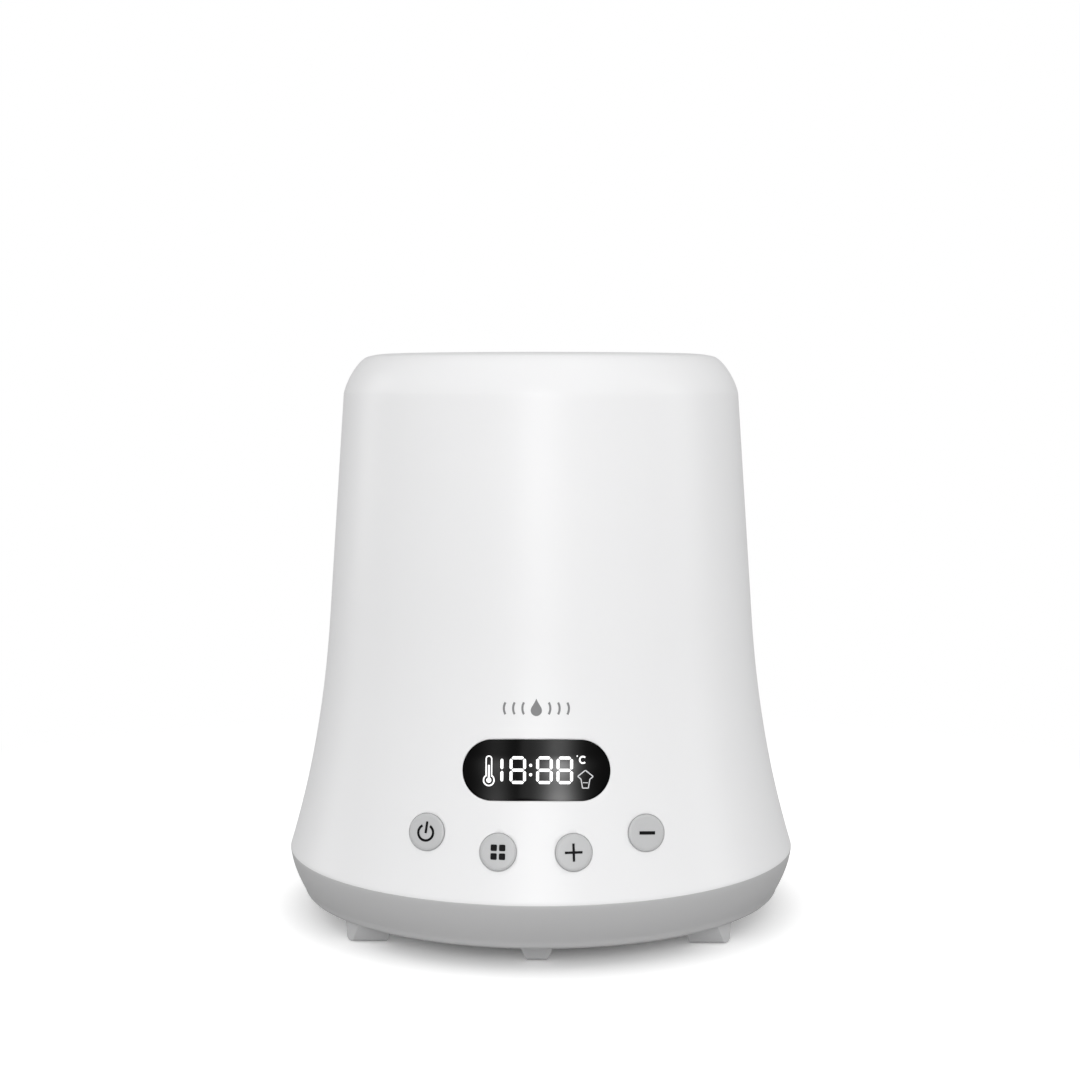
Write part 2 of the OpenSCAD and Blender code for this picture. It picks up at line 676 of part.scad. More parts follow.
module heating_element() color("gray") {
    z = plate_under_z - element_d / 2;
    rotate([0, 0, element_gap_angle / 2]) rotate_extrude(angle = 360 - element_gap_angle)
        translate([element_ring_r, z]) circle(d = element_d);
    for (s = [-1, 1]) rotate([0, 0, s * (element_gap_angle / 2 + 6)]) translate([element_ring_r, 0, 0]) {
        translate([0, 0, z - terminal_len]) cylinder(r = terminal_r, h = terminal_len);
        translate([0, 0, z - element_d / 2 - 2.4]) cylinder(r = terminal_r + 1.2, h = 4);
    }
}

module thermal_cutout() color("silver") translate([cutout_pos[0], cutout_pos[1], 0]) {
    difference() {
        union() {
            translate([0, 0, cutout_ear_z]) cylinder(r = cutout_r + 0.8, h = 3);
            translate([-cutout_stud_x - 3, -3.2, cutout_ear_z - 0.8]) cube([2 * cutout_stud_x + 6, 6.4, 0.9]);
        }
        for (s = [-1, 1]) translate([s * cutout_stud_x, 0, cutout_ear_z - 2]) cylinder(r = stud_r + 0.1, h = 8);
    }
    translate([0, 0, cutout_ear_z - 7]) cylinder(r = cutout_r, h = 6.5);
    for (s = [-1, 1]) translate([s * 4 - 0.4, -3, cutout_ear_z - 14]) cube([0.8, 6, 7.5]);
}

module stud_nuts() color("gray") {
    for (p = [
        [-cutout_stud_x, cutout_pos[1], cutout_ear_z - 0.8],
        [cutout_stud_x, cutout_pos[1], cutout_ear_z - 0.8],
        [sensor_stud[0], sensor_stud[1], clip_z]
    ]) translate([p[0], p[1], p[2] - nut_h]) difference() {
        cylinder(r = nut_r, h = nut_h, $fn = 6);
        translate([0, 0, -1]) cylinder(r = stud_r + 0.05, h = 4);
    }
}

module thermistor() color("goldenrod") translate([sensor_pos[0], sensor_pos[1], 0]) rotate_extrude() polygon([
    [0, plate_under_z], [sensor_r, plate_under_z], [sensor_r, plate_under_z - 3.2],
    [sensor_r + 0.8, plate_under_z - 3.2], [sensor_r + 0.8, plate_under_z - 4.2],
    [sensor_r, plate_under_z - 4.2], [sensor_r, plate_under_z - sensor_h], [0, plate_under_z - sensor_h]
]);

module thermistor_clip() color("lightsteelblue") difference() {
    union() {
        translate([sensor_pos[0], sensor_pos[1], clip_z]) cylinder(r = 4.2, h = clip_t);
        translate([sensor_stud[0], sensor_stud[1], clip_z]) cylinder(r = 3.2, h = clip_t);
        translate([sensor_pos[0], sensor_pos[1], clip_z]) rotate([0, 0, atan2(
            sensor_stud[1] - sensor_pos[1], sensor_stud[0] - sensor_pos[0])])
            translate([0, -2.6, 0.05]) cube([norm(sensor_stud - sensor_pos), 5.2, clip_t - 0.1]);
    }
    translate([sensor_pos[0], sensor_pos[1], clip_z - 1]) cylinder(r = sensor_r + 0.15, h = 3);
    translate([sensor_stud[0], sensor_stud[1], clip_z - 1]) cylinder(r = stud_r + 0.1, h = 3);
}

// ---------- lift basket ----------

module lift_basket() color("gainsboro") difference() {
    union() {
        rotate_extrude() polygon([
            [0, basket_floor_z], [basket_r - 1.5, basket_floor_z], [basket_r, basket_floor_z + 1.5],
            [basket_r, basket_top_z - basket_rim_t], [basket_rim_r - 0.5, basket_top_z - basket_rim_t],
            [basket_rim_r, basket_top_z - basket_rim_t + 0.5], [basket_rim_r, basket_top_z - 0.5],
            [basket_rim_r - 0.5, basket_top_z], [room_r, basket_top_z],
            [room_r, basket_floor_z + basket_floor_t + 1.5], [room_r - 1.5, basket_floor_z + basket_floor_t],
            [0, basket_floor_z + basket_floor_t]
        ]);
        for (s = [0, 180]) rotate([0, 0, s - tab_angle / 2]) rotate_extrude(angle = tab_angle) polygon([
            [room_r + 0.6, basket_top_z - 1], [basket_r, basket_top_z - 1], [basket_r, tab_top_z - 2.6],
            [basket_rim_r, tab_top_z - 2.2], [basket_rim_r, tab_top_z - 0.6], [basket_rim_r - 0.6, tab_top_z],
            [room_r + 1.2, tab_top_z], [room_r + 0.6, tab_top_z - 0.6]
        ]);
        for (a = [0, 120, 240]) at_angle(a, leg_ring_r)
            translate([0, 0, hotplate_h]) cylinder(r = 1.8, h = basket_leg_h + 1);
    }
    for (i = [0 : basket_slots - 1]) rotate([0, 0, i * 360 / basket_slots])
        translate([room_r - 2, -basket_slot_w / 2, slot_z0]) cube([8, basket_slot_w, slot_z1 - slot_z0]);
    for (i = [0 : 7]) at_angle(22.5 + i * 45, room_r * 0.62)
        translate([0, 0, basket_floor_z - 1]) cylinder(r = 5, h = basket_floor_t + 2);
    translate([0, 0, basket_floor_z - 1]) cylinder(r = 9, h = basket_floor_t + 2);
}

// ---------- power supply ----------

module power_board() color("darkgreen") difference() {
    translate([0, power_board_y, power_board_z]) rounded_plate(power_board_w, power_board_l, 2, pcb_t);
    for (x = [-1, 1], y = [-1, 1])
        translate([x * board_post_x, power_board_y + y * board_post_y, power_board_z - 1])
            cylinder(r = small_screw[0] + 0.3, h = pcb_t + 2);
}

module board_screws() color("gray") for (x = [-1, 1], y = [-1, 1])
    translate([x * board_post_x, power_board_y + y * board_post_y, power_top_z]) rotate([180, 0, 0])
        screw(small_screw, 6);

module transformer() color("khaki") translate([-21, 12, power_top_z]) {
    translate([-12, -10, 0]) cube([24, 20, 3]);
    translate([-13, -4, 3]) cube([26, 8, 15]);
    translate([0, 0, 4.5]) cylinder(r = 8.6, h = 12);
}

module relay() color("royalblue") translate([8, 18.4, power_top_z]) translate([-9.5, -7.7, 0]) cube([19, 15.4, 15]);

module mains_capacitor() color("gold") translate([-22, -12, power_top_z]) translate([-9, -4, 0]) cube([18, 8, 14]);

module smoothing_capacitors() color("midnightblue") for (p = [[0, -10], [12.4, -10]])
    translate([p[0], p[1], power_top_z]) rotate_extrude() polygon([
        [0, 0], [4.6, 0], [5, 0.5], [5, 1.6], [4.7, 2], [5, 2.4], [5, 15.4], [4.5, 16], [0, 16]
    ]);

module triac() color("dimgray") translate([27, -14.2, power_top_z]) {
    translate([-5, -2.2, 3]) cube([10, 4.4, 9.5]);
    for (x = [-2.5, 0, 2.5]) translate([x - 0.4, -0.3, 0]) cube([0.8, 0.6, 3.2]);
}

module heat_sink() color("silver") translate([27, -12, power_top_z]) {
    translate([-7, 0, 0]) cube([14, 1.6, 20]);
    for (x = [-7, -2.8, 1.4, 5.6]) translate([x, 1.5, 0]) cube([1.4, 5, 20]);
}

module fuse() color("lightblue") translate([-20, 28, power_top_z + 3]) {
    rotate([0, 90, 0]) cylinder(r = 2.5, h = 18, center = true);
    for (s = [-1, 1]) translate([s * 8.2 - 1.5, -3.2, -3]) cube([3, 6.4, 4]);
}

module board_connectors() color("ivory") {
    translate([outlet_block_pos[0] - outlet_block[0] / 2, outlet_block_pos[1] - outlet_block[1] / 2, power_top_z])
        cube(outlet_block);
    translate([sensor_block_pos[0] - sensor_block[0] / 2, sensor_block_pos[1] - sensor_block[1] / 2 + 2, power_top_z])
        cube(sensor_block);
    translate([-ribbon_block[0] / 2, ribbon_block_y - ribbon_block[1] / 2, power_top_z]) cube(ribbon_block);
}

// ---------- leads held inside ----------

outlet_top_z = power_top_z + outlet_block[2];
terminal_end_z = plate_under_z - element_d / 2 - terminal_len;
heater_lead_d = 2.6;
sensor_lead_d = 1.8;

// One lead from the board to the element, one to the cut-out, and one from the cut-out back to the element
module heater_leads() color("firebrick") {
    a = element_gap_angle / 2 + 6;
    tx = element_ring_r * cos(a);
    ty = element_ring_r * sin(a);
    tab_z = cutout_ear_z - 14;
    bx = outlet_block_pos[0];
    by = outlet_block_pos[1];
    lead([
        [tx, ty, terminal_end_z], [tx, ty, terminal_end_z - 5], [bx - 3, by + 1, outlet_top_z + 9],
        [bx, by + 3, outlet_top_z + 6], [bx, by + 3, outlet_top_z]
    ], heater_lead_d);
    lead([
        [4, cutout_pos[1], tab_z], [4, cutout_pos[1], tab_z - 5], [bx - 9, by - 6, outlet_top_z + 10],
        [bx, by - 3, outlet_top_z + 6], [bx, by - 3, outlet_top_z]
    ], heater_lead_d);
    lead([
        [-4, cutout_pos[1], tab_z], [-4, cutout_pos[1], tab_z - 4], [6, -10, tab_z - 6],
        [tx - 2, -ty - 1, tab_z - 3], [tx, -ty, terminal_end_z - 3], [tx, -ty, terminal_end_z]
    ], heater_lead_d);
}

module sensor_lead() color("white") lead([
    [sensor_pos[0], sensor_pos[1], plate_under_z - sensor_h],
    [sensor_pos[0], sensor_pos[1], plate_under_z - sensor_h - 5],
    [-4, 22, (plate_under_z + power_top_z) / 2 - 2],
    [sensor_block_pos[0], sensor_block_pos[1] + 2, power_top_z + sensor_block[2] + 8],
    [sensor_block_pos[0], sensor_block_pos[1] + 2, power_top_z + sensor_block[2]]
], sensor_lead_d);

// Flat cable from the control board down to the power board, drawn as a band and extruded across
ribbon_socket_y = -10;
ribbon_socket_t = 5;
function panel_point(y, z) = [
    -panel_y - z * cos(panel_tilt) + y * sin(panel_tilt),
    panel_z + y * cos(panel_tilt) + z * sin(panel_tilt)
];
ribbon_start = panel_point(ribbon_socket_y, board_z - pcb_t - ribbon_socket_t);
ribbon_end = [ribbon_block_y, power_top_z + ribbon_block[2]];
function band_side(p, off, first, last) = [for (i = [0 : len(p) - 1]) let (
    v = i == 0 ? first : i == len(p) - 1 ? last : unit(p[i + 1] - p[i - 1])
) p[i] + off * [-v[1], v[0]]];
module ribbon_cable() color("slategray") {
    back = [cos(panel_tilt), -sin(panel_tilt)];
    middle = concat([ribbon_start], bezier(ribbon_start, ribbon_start + 9 * back,
        ribbon_end + [0, 14], ribbon_end, 12));
    left = band_side(middle, ribbon_t / 2, back, [0, -1]);
    right = band_side(middle, -ribbon_t / 2, back, [0, -1]);
    rotate([90, 0, 90]) linear_extrude(ribbon_w, center = true)
        polygon(concat(left, [for (i = [len(right) - 1 : -1 : 0]) right[i]]));
}

// ---------- control board ----------

module control_board() color("darkgreen") in_panel() difference() {
    translate([0, (board_y0 + board_y1) / 2, board_z - pcb_t]) rounded_plate(board_w, board_y1 - board_y0, 2, pcb_t);
    for (p = board_holes) translate([p[0], p[1], board_z - pcb_t - 1])
        cylinder(r = small_screw[0] + 0.3, h = pcb_t + 2);
}

module control_screws() color("gray") in_panel() for (p = board_holes)
    translate([p[0], p[1], board_z - pcb_t]) screw(small_screw, pcb_t + 4.6);

module tact_switches() color("dimgray") in_panel() for (p = key_positions)
    translate([p[0], p[1], board_z]) difference() {
        translate([-switch_w / 2, -switch_w / 2, 0]) cube([switch_w, switch_w, switch_h]);
        translate([0, 0, switch_h - plunger_bore_depth]) cylinder(r = plunger_r + 0.1, h = plunger_bore_depth + 1);
    }

module microcontroller() color("black") in_panel()
    translate([18, -4, board_z - pcb_t - 1.6]) translate([-5, -5, 0]) cube([10, 10, 1.6]);

module buzzer() color("black") in_panel() translate([-18, -4, board_z - pcb_t - 5]) difference() {
    cylinder(r = 6, h = 5);
    translate([0, 0, -1]) cylinder(r = 1, h = 2);
}

module ribbon_socket() color("ivory") in_panel()
    translate([-ribbon_block[0] / 2, ribbon_socket_y - 2.6, board_z - pcb_t - ribbon_socket_t])
        cube([ribbon_block[0], 5.2, ribbon_socket_t]);

module display_module() color("black") in_panel()
    translate([-segment_block[0] / 2, window_y - segment_block[1] / 2, holder_top - display_t])
        cube([segment_block[0], segment_block[1], display_t - 0.6]);

// Black light box that holds the display up behind the window
module display_holder() color("black") in_panel() difference() {
    translate([0, window_y, board_z]) rounded_plate(holder_w, holder_h, 3, holder_top - board_z);
    translate([0, window_y, holder_top - display_t])
        translate([-segment_block[0] / 2 - 0.1, -segment_block[1] / 2 - 0.1, 0])
            cube([segment_block[0] + 0.2, segment_block[1] + 0.2, display_t + 1]);
    translate([0, window_y, board_z - 1])
        translate([-segment_block[0] / 2 + 1.5, -segment_block[1] / 2 + 1.5, 0])
            cube([segment_block[0] - 3, segment_block[1] - 3, 60]);
}

// The window is a pill that fills the opening, with a flange behind the shell and a foam ring between
window_flange = 1.8;
window_flange_t = 1.2;
tape_t = 0.5;
module behind_shell(w, h, near, far) {
    intersection() {
        in_panel() translate([0, window_y, 0]) linear_extrude(40) pill(w, h);
        difference() {
            side_solid(near);
            side_solid(far);
        }
    }
}
module display_window() color("black") {
    flange_z = wall + tape_t + 0.05;
    behind_shell(window_w - 2 * fit_gap, window_h - 2 * fit_gap, window_inset, flange_z + window_flange_t / 2);
    behind_shell(window_w + 2 * window_flange, window_h + 2 * window_flange, flange_z, flange_z + window_flange_t);
}
module window_tape() color("gray") difference() {
    behind_shell(window_w + 2 * window_flange, window_h + 2 * window_flange, wall + 0.03, wall + tape_t);
    in_panel() translate([0, window_y, 0]) linear_extrude(40) pill(window_w + 0.6, window_h + 0.6);
}

// ---------- keys ----------

module key_cap(i) {
    p = key_positions[i];
    top = flange_top(p);
    color("lightgray") union() {
        intersection() {
            in_panel() translate([p[0], p[1], top - 0.5]) cylinder(d = key_d, h = 30);
            side_solid(-key_proud);
        }
        in_panel() translate([p[0], p[1], 0]) {
            translate([0, 0, top - key_flange_t]) cylinder(r = key_flange_r, h = key_flange_t);
            translate([0, 0, plunger_top]) cylinder(r = key_stem_r, h = top - plunger_top - 0.4);
        }
    }
}

module key_plunger(i) {
    p = key_positions[i];
    color("black") in_panel() translate([p[0], p[1], plunger_top - plunger_h - plunger_bore_depth + key_travel + 0.3])
        cylinder(r = plunger_r, h = plunger_h + plunger_bore_depth - key_travel - 0.3);
}

// ---------- nodes ----------

outer_shell();
base_pan();
for (i = [1 : foot_count]) foot(i - 1);
base_screws();
cord_gland();
cord_clamp();
cord_clamp_screws();
water_tank();
tank_screws();
rim_seal();
heating_plate();
plate_seal();
heater_clamp();
clamp_screws();
heating_element();
thermal_cutout();
stud_nuts();
thermistor();
thermistor_clip();
lift_basket();
power_board();
board_screws();
transformer();
relay();
mains_capacitor();
smoothing_capacitors();
triac();
heat_sink();
fuse();
board_connectors();
heater_leads();
sensor_lead();
ribbon_cable();
control_board();
control_screws();
tact_switches();
microcontroller();
buzzer();
ribbon_socket();
display_module();
display_holder();
window_tape();
display_window();
for (i = [0 : 3]) key_cap(i);
for (i = [0 : 3]) key_plunger(i);
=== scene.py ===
"""Bottle warmer: the visible pieces, their finishes, and a plain white studio round them.

Sizes are in millimetres until a piece is placed, because that is how the housing was drawn.
Everything on the control panel is modelled flat, with z = 0 for the shell's face, and is then
laid on the shell by lay_on_shell().
"""
import math
import json
import bpy
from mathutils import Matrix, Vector


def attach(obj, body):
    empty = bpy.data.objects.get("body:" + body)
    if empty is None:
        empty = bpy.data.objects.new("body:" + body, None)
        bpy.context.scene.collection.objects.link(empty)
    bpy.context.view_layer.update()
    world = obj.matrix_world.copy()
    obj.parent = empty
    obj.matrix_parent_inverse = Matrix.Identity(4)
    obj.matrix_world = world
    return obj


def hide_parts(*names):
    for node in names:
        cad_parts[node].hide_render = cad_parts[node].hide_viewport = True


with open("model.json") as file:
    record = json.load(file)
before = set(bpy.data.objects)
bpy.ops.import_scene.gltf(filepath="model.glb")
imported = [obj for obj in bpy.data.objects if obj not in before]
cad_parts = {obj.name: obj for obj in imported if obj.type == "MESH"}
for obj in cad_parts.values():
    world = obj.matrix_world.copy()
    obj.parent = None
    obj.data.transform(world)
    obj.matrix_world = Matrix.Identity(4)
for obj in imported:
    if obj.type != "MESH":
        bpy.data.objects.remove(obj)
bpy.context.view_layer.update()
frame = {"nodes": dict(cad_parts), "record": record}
nodes = frame["nodes"]
mm = 0.001

# ---------- the housing's own sizes ----------

base_r = 72.0
overall_h = 158.5
shoulder_r = 57.0
shoulder_h = 11.5
shoulder_w = 6.8
shoulder_z = overall_h - shoulder_h
crown_h = 0.8
side_taper = 0.06
flare_top = 85.0
flare_power = 2.2
seam_z = 18.2
wall = 2.4
well_r = 42.0
lip_r = 2.0
collar_h = 9.0
flare_w = base_r - shoulder_r - side_taper * (shoulder_z - seam_z)
seam_round = 0.2
collar_cut = 0.3


def outer_r(z):
    """Radius of the housing's side at a height."""
    flare = max(0.0, flare_top - z) / (flare_top - seam_z)
    return shoulder_r + side_taper * (shoulder_z - z) + flare_w * flare ** flare_power


panel_z = 40.0
panel_tilt = math.atan((outer_r(panel_z - 10) - outer_r(panel_z + 10)) / 20)
panel_y = outer_r(panel_z) - 16.2
window_y = 7.7
window_w, window_h = 38.2, 15.5
pane_gap = 0.03
pane_t = 1.6
pane_inset = 0.12
print_inset = 0.09
key_r = 4.72
key_gap = 0.06
key_proud = 0.8
key_depth = 2.2
key_round = 0.68
key_arc_r = 77.0
key_arc_drop = 13.4
key_turns = {"power": -21.6, "mode": -7.2, "plus": 7.2, "minus": 21.6}


def key_centre(turn):
    """Where a key sits on the panel, from its angle along the arc."""
    a = math.radians(turn)
    return key_arc_r * math.sin(a), key_arc_r * (1 - math.cos(a)) - key_arc_drop


def face_height(x, y):
    """How far out of the panel's datum plane the shell's face lies."""
    z = 14.0
    c, s = math.cos(panel_tilt), math.sin(panel_tilt)
    for _ in range(12):
        r = outer_r(panel_z + y * c + z * s)
        z = (math.sqrt(max(r * r - x * x, 1.0)) - panel_y + y * s) / c
    return z


def on_panel(x, y, z):
    """A point of the panel's drawing in the frame, in metres."""
    c, s = math.cos(panel_tilt), math.sin(panel_tilt)
    return Vector((x, -panel_y - z * c + y * s, panel_z + y * c + z * s)) * mm


# ---------- working in edit mode ----------

def settle():
    """Back to object mode with nothing selected."""
    if bpy.context.object and bpy.context.object.mode != "OBJECT":
        bpy.ops.object.mode_set(mode="OBJECT")
    bpy.ops.object.select_all(action="DESELECT")


def take(piece):
    """Makes a piece the only one selected."""
    settle()
    piece.select_set(True)
    bpy.context.view_layer.objects.active = piece


def edit_all(piece):
    """Opens a piece in edit mode with all of it selected."""
    take(piece)
    bpy.ops.object.mode_set(mode="EDIT")
    bpy.ops.mesh.select_all(action="SELECT")


def face_outward():
    """Turns every face of the piece in edit mode outward, and leaves edit mode."""
    bpy.ops.mesh.select_all(action="SELECT")
    bpy.ops.mesh.normals_make_consistent(inside=False)
    settle()


def circle(name, steps, r, centre):
    """A new ring of edges, open in edit mode and selected."""
    settle()
    bpy.ops.mesh.primitive_circle_add(vertices=steps, radius=r, location=centre)
    piece = bpy.context.object
    piece.name = name
    bpy.ops.object.transform_apply(location=True)
    edit_all(piece)
    return piece


def draw_ring(rise, scale, centre=(0, 0, 0)):
    """Draws the selected ring up by rise and scales it about centre."""
    bpy.ops.mesh.extrude_edges_move(TRANSFORM_OT_translate={"value": (0, 0, rise)})
    bpy.ops.transform.resize(value=(scale, scale, 1), center_override=centre)


def fan_in():
    """Fills the selected ring with faces that meet at its centre."""
    bpy.ops.mesh.extrude_edges_move(TRANSFORM_OT_translate={"value": (0, 0, 0)})
    bpy.ops.mesh.merge(type="CENTER")


def select_where(piece, test):
    """Selects the points of a piece in edit mode that pass a test."""
    bpy.ops.object.mode_set(mode="OBJECT")
    for v in piece.data.vertices:
        v.select = test(v.co)
    bpy.ops.object.mode_set(mode="EDIT")


def smooth(piece, angle):
    """Smooth shading, except over edges sharper than angle."""
    take(piece)
    bpy.ops.object.shade_smooth_by_angle(angle=math.radians(angle))
    settle()


def apply_all(piece):
    """Applies a piece's modifiers."""
    take(piece)
    for modifier in list(piece.modifiers):
        bpy.ops.object.modifier_apply(modifier=modifier.name)
    settle()


def on_ring(at, ring):
    """Whether a point lies on the ring with this (radius, height) in mm."""
    return math.dist((math.hypot(at.x, at.y) / mm, at.z / mm), ring) < 0.004


def turned(name, profile, steps, joined_up=False):
    """A turned piece: a ring drawn out and scaled along its profile of (radius, height) in mm.

    With joined_up the profile's end meets its start, and otherwise both its ends are filled in.
    """
    r, z = profile[0]
    piece = circle(name, steps, r * mm, (0, 0, z * mm))
    bpy.ops.mesh.select_mode(type="VERT")
    if not joined_up:
        fan_in()
        select_where(piece, lambda at: math.hypot(at.x, at.y) > 0.5 * r * mm)
    for r2, z2 in profile[1:]:
        draw_ring((z2 - z) * mm, r2 / r)
        r, z = r2, z2
    if joined_up:
        select_where(piece, lambda at: on_ring(at, profile[0]) or on_ring(at, profile[-1]))
        bpy.ops.mesh.bridge_edge_loops()
    else:
        fan_in()
    face_outward()
    return piece


def merged_copy(node, name, angle):
    """A shaded copy of a CAD node, with its loose triangles joined up."""
    source = nodes[node]
    mesh = source.data.copy()
    mesh.materials.clear()
    piece = bpy.data.objects.new(name, mesh)
    bpy.context.scene.collection.objects.link(piece)
    edit_all(piece)
    bpy.ops.mesh.remove_doubles(threshold=0.000004)
    bpy.ops.mesh.customdata_custom_splitnormals_clear()
    settle()
    smooth(piece, angle)
    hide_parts(node)
    return piece


def lay_on_shell(piece):
    """Bends a piece that was modelled flat, in mm, onto the shell's face."""
    for v in piece.data.vertices:
        x, y, z = v.co
        v.co = on_panel(x, y, z + face_height(x, y))
    piece.data.update()


# ---------- flat drawing for the panel ----------

def flat_disc(name, x, y, r, steps=48, rings=4):
    """A disc in the panel's plane, with rings enough to bend."""
    piece = circle(name, steps, r, (x, y, 0))
    for i in range(rings, 1, -1):
        draw_ring(0, (i - 1) / i, (x, y, 0))
    fan_in()
    face_outward()
    return piece


def turn_and_place(piece, x, y, turn):
    """Turns a flat piece about the origin by degrees, and moves it to its place on the panel."""
    c, s = math.cos(math.radians(turn)), math.sin(math.radians(turn))
    for v in piece.data.vertices:
        v.co = (x + v.co.x * c - v.co.y * s, y + v.co.x * s + v.co.y * c, 0)


def plain_bar(w, h):
    """A flat bar at the origin, w long and h thick."""
    settle()
    bpy.ops.mesh.primitive_plane_add(size=1, location=(0, 0, 0))
    piece = bpy.context.object
    piece.scale = (w, h, 1)
    bpy.ops.object.transform_apply(scale=True)
    edit_all(piece)
    return piece


def flat_bar(name, x, y, w, h, turn=0.0, round_r=0.0):
    """A bar in the panel's plane, w long and h thick, with corners of radius round_r."""
    piece = plain_bar(w, h)
    piece.name = name
    if round_r:
        bpy.ops.mesh.bevel(offset=round_r, segments=5, affect="VERTICES")
    settle()
    turn_and_place(piece, x, y, turn)
    return piece


def tipped_bar(x, y, w, h, turn):
    """A bar whose two ends run out to a point, w from tip to tip."""
    piece = plain_bar(w, h)
    taper, end_height = h * 0.42, 0.12
    for side in (-1, 1):
        bpy.ops.mesh.bisect(plane_co=(side * (w / 2 - taper), 0, 0), plane_no=(1, 0, 0))
        bpy.ops.mesh.select_all(action="SELECT")
    settle()
    for v in piece.data.vertices:
        if abs(v.co.x) > w / 2 - 0.001:
            v.co.y *= end_height
    turn_and_place(piece, x, y, turn)
    return piece


def flat_ring(name, x, y, r, thick, gap=0.0, turn=90.0, steps=48):
    """A ring in the panel's plane. gap leaves an opening of that many degrees, centred on turn."""
    piece = circle(name, steps, r - thick / 2, (x, y, 0))
    draw_ring(0, (r + thick / 2) / (r - thick / 2), (x, y, 0))
    if gap:
        bpy.ops.mesh.select_mode(type="FACE")
        bpy.ops.object.mode_set(mode="OBJECT")
        for face in piece.data.polygons:
            a = math.degrees(math.atan2(face.center.y - y, face.center.x - x))
            face.select = abs((a - turn + 180) % 360 - 180) < gap / 2
        bpy.ops.object.mode_set(mode="EDIT")
        bpy.ops.mesh.delete(type="FACE")
        bpy.ops.mesh.select_mode(type="VERT")
    face_outward()
    return piece


def joined(name, parts):
    """Several drawn pieces as one."""
    settle()
    for part in parts:
        part.select_set(True)
    bpy.context.view_layer.objects.active = parts[0]
    if len(parts) > 1:
        bpy.ops.object.join()
    piece = bpy.context.object
    piece.name = name
    piece.data.name = name
    settle()
    return piece


def printed(name, parts, lift, body, thick=0.05):
    """Joins flat shapes, gives them the thickness of a print, and lays them on the shell at a height."""
    piece = joined(name, parts)
    edit_all(piece)
    bpy.ops.mesh.quads_convert_to_tris()
    bpy.ops.mesh.subdivide(number_cuts=1)
    bpy.ops.mesh.extrude_region_move(TRANSFORM_OT_translate={"value": (0, 0, thick)})
    face_outward()
    for v in piece.data.vertices:
        v.co.z += lift - thick / 2
    lay_on_shell(piece)
    smooth(piece, 40)
    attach(piece, body)
    return piece


# ---------- finishes ----------

def new_material(name):
    """A new material, its node tree and its shader."""
    material = bpy.data.materials.new(name)
    material.use_nodes = True
    tree = material.node_tree
    shader = tree.nodes["Principled BSDF"]
    return material, tree, shader


def set_stops(ramp, stops):
    """Gives a colour ramp its stops, each a place and a grey tone."""
    elements = ramp.color_ramp.elements
    while len(elements) < len(stops):
        elements.new(0.5)
    for element, (at, tone) in zip(elements, stops):
        element.position = at
        element.color = (tone, tone, tone, 1)


def surface_group():
    """Fine unevenness of a moulded or worked surface: a roughness value and a height."""
    group = bpy.data.node_groups.new("fine surface", "ShaderNodeTree")
    face = group.interface
    for name, kind, default in (("Scale", "NodeSocketFloat", 60.0), ("Roughness", "NodeSocketFloat", 0.3),
                                ("Spread", "NodeSocketFloat", 0.05), ("Grain", "NodeSocketFloat", 900.0)):
        socket = face.new_socket(name=name, in_out="INPUT", socket_type=kind)
        socket.default_value = default
    face.new_socket(name="Roughness", in_out="OUTPUT", socket_type="NodeSocketFloat")
    face.new_socket(name="Height", in_out="OUTPUT", socket_type="NodeSocketFloat")
    n, link = group.nodes, group.links.new
    gin, gout = n.new("NodeGroupInput"), n.new("NodeGroupOutput")
    place = n.new("ShaderNodeTexCoord")
    cloud, grain = n.new("ShaderNodeTexNoise"), n.new("ShaderNodeTexNoise")
    cloud.inputs["Detail"].default_value = 3.0
    grain.inputs["Detail"].default_value = 2.0
    link(place.outputs["Object"], cloud.inputs["Vector"])
    link(place.outputs["Object"], grain.inputs["Vector"])
    link(gin.outputs["Scale"], cloud.inputs["Scale"])
    link(gin.outputs["Grain"], grain.inputs["Scale"])
    centred = n.new("ShaderNodeMath")
    centred.operation = "SUBTRACT"
    centred.inputs[1].default_value = 0.5
    link(cloud.outputs["Fac"], centred.inputs[0])
    spread = n.new("ShaderNodeMath")
    spread.operation = "MULTIPLY"
    link(centred.outputs[0], spread.inputs[0])
    link(gin.outputs["Spread"], spread.inputs[1])
    total = n.new("ShaderNodeMath")
    total.operation = "ADD"
    total.use_clamp = True
    link(spread.outputs[0], total.inputs[0])
    link(gin.outputs["Roughness"], total.inputs[1])
    link(total.outputs[0], gout.inputs["Roughness"])
    link(grain.outputs["Fac"], gout.inputs["Height"])
    return group


def tone_group():
    """A slow drift of colour between two tones, as on any moulded batch."""
    group = bpy.data.node_groups.new("slow tone", "ShaderNodeTree")
    face = group.interface
    for name in ("Light", "Dark"):
        face.new_socket(name=name, in_out="INPUT", socket_type="NodeSocketColor")
    scale = face.new_socket(name="Scale", in_out="INPUT", socket_type="NodeSocketFloat")
    scale.default_value = 20.0
    face.new_socket(name="Color", in_out="OUTPUT", socket_type="NodeSocketColor")
    n, link = group.nodes, group.links.new
    gin, gout = n.new("NodeGroupInput"), n.new("NodeGroupOutput")
    place, cloud = n.new("ShaderNodeTexCoord"), n.new("ShaderNodeTexNoise")
    cloud.inputs["Detail"].default_value = 2.0
    link(place.outputs["Object"], cloud.inputs["Vector"])
    link(gin.outputs["Scale"], cloud.inputs["Scale"])
    mix = n.new("ShaderNodeMix")
    mix.data_type = "RGBA"
    link(cloud.outputs["Fac"], mix.inputs["Factor"])
    link(gin.outputs["Light"], mix.inputs["A"])
    link(gin.outputs["Dark"], mix.inputs["B"])
    link(mix.outputs["Result"], gout.inputs["Color"])
    return group


fine_surface = surface_group()
slow_tone = tone_group()


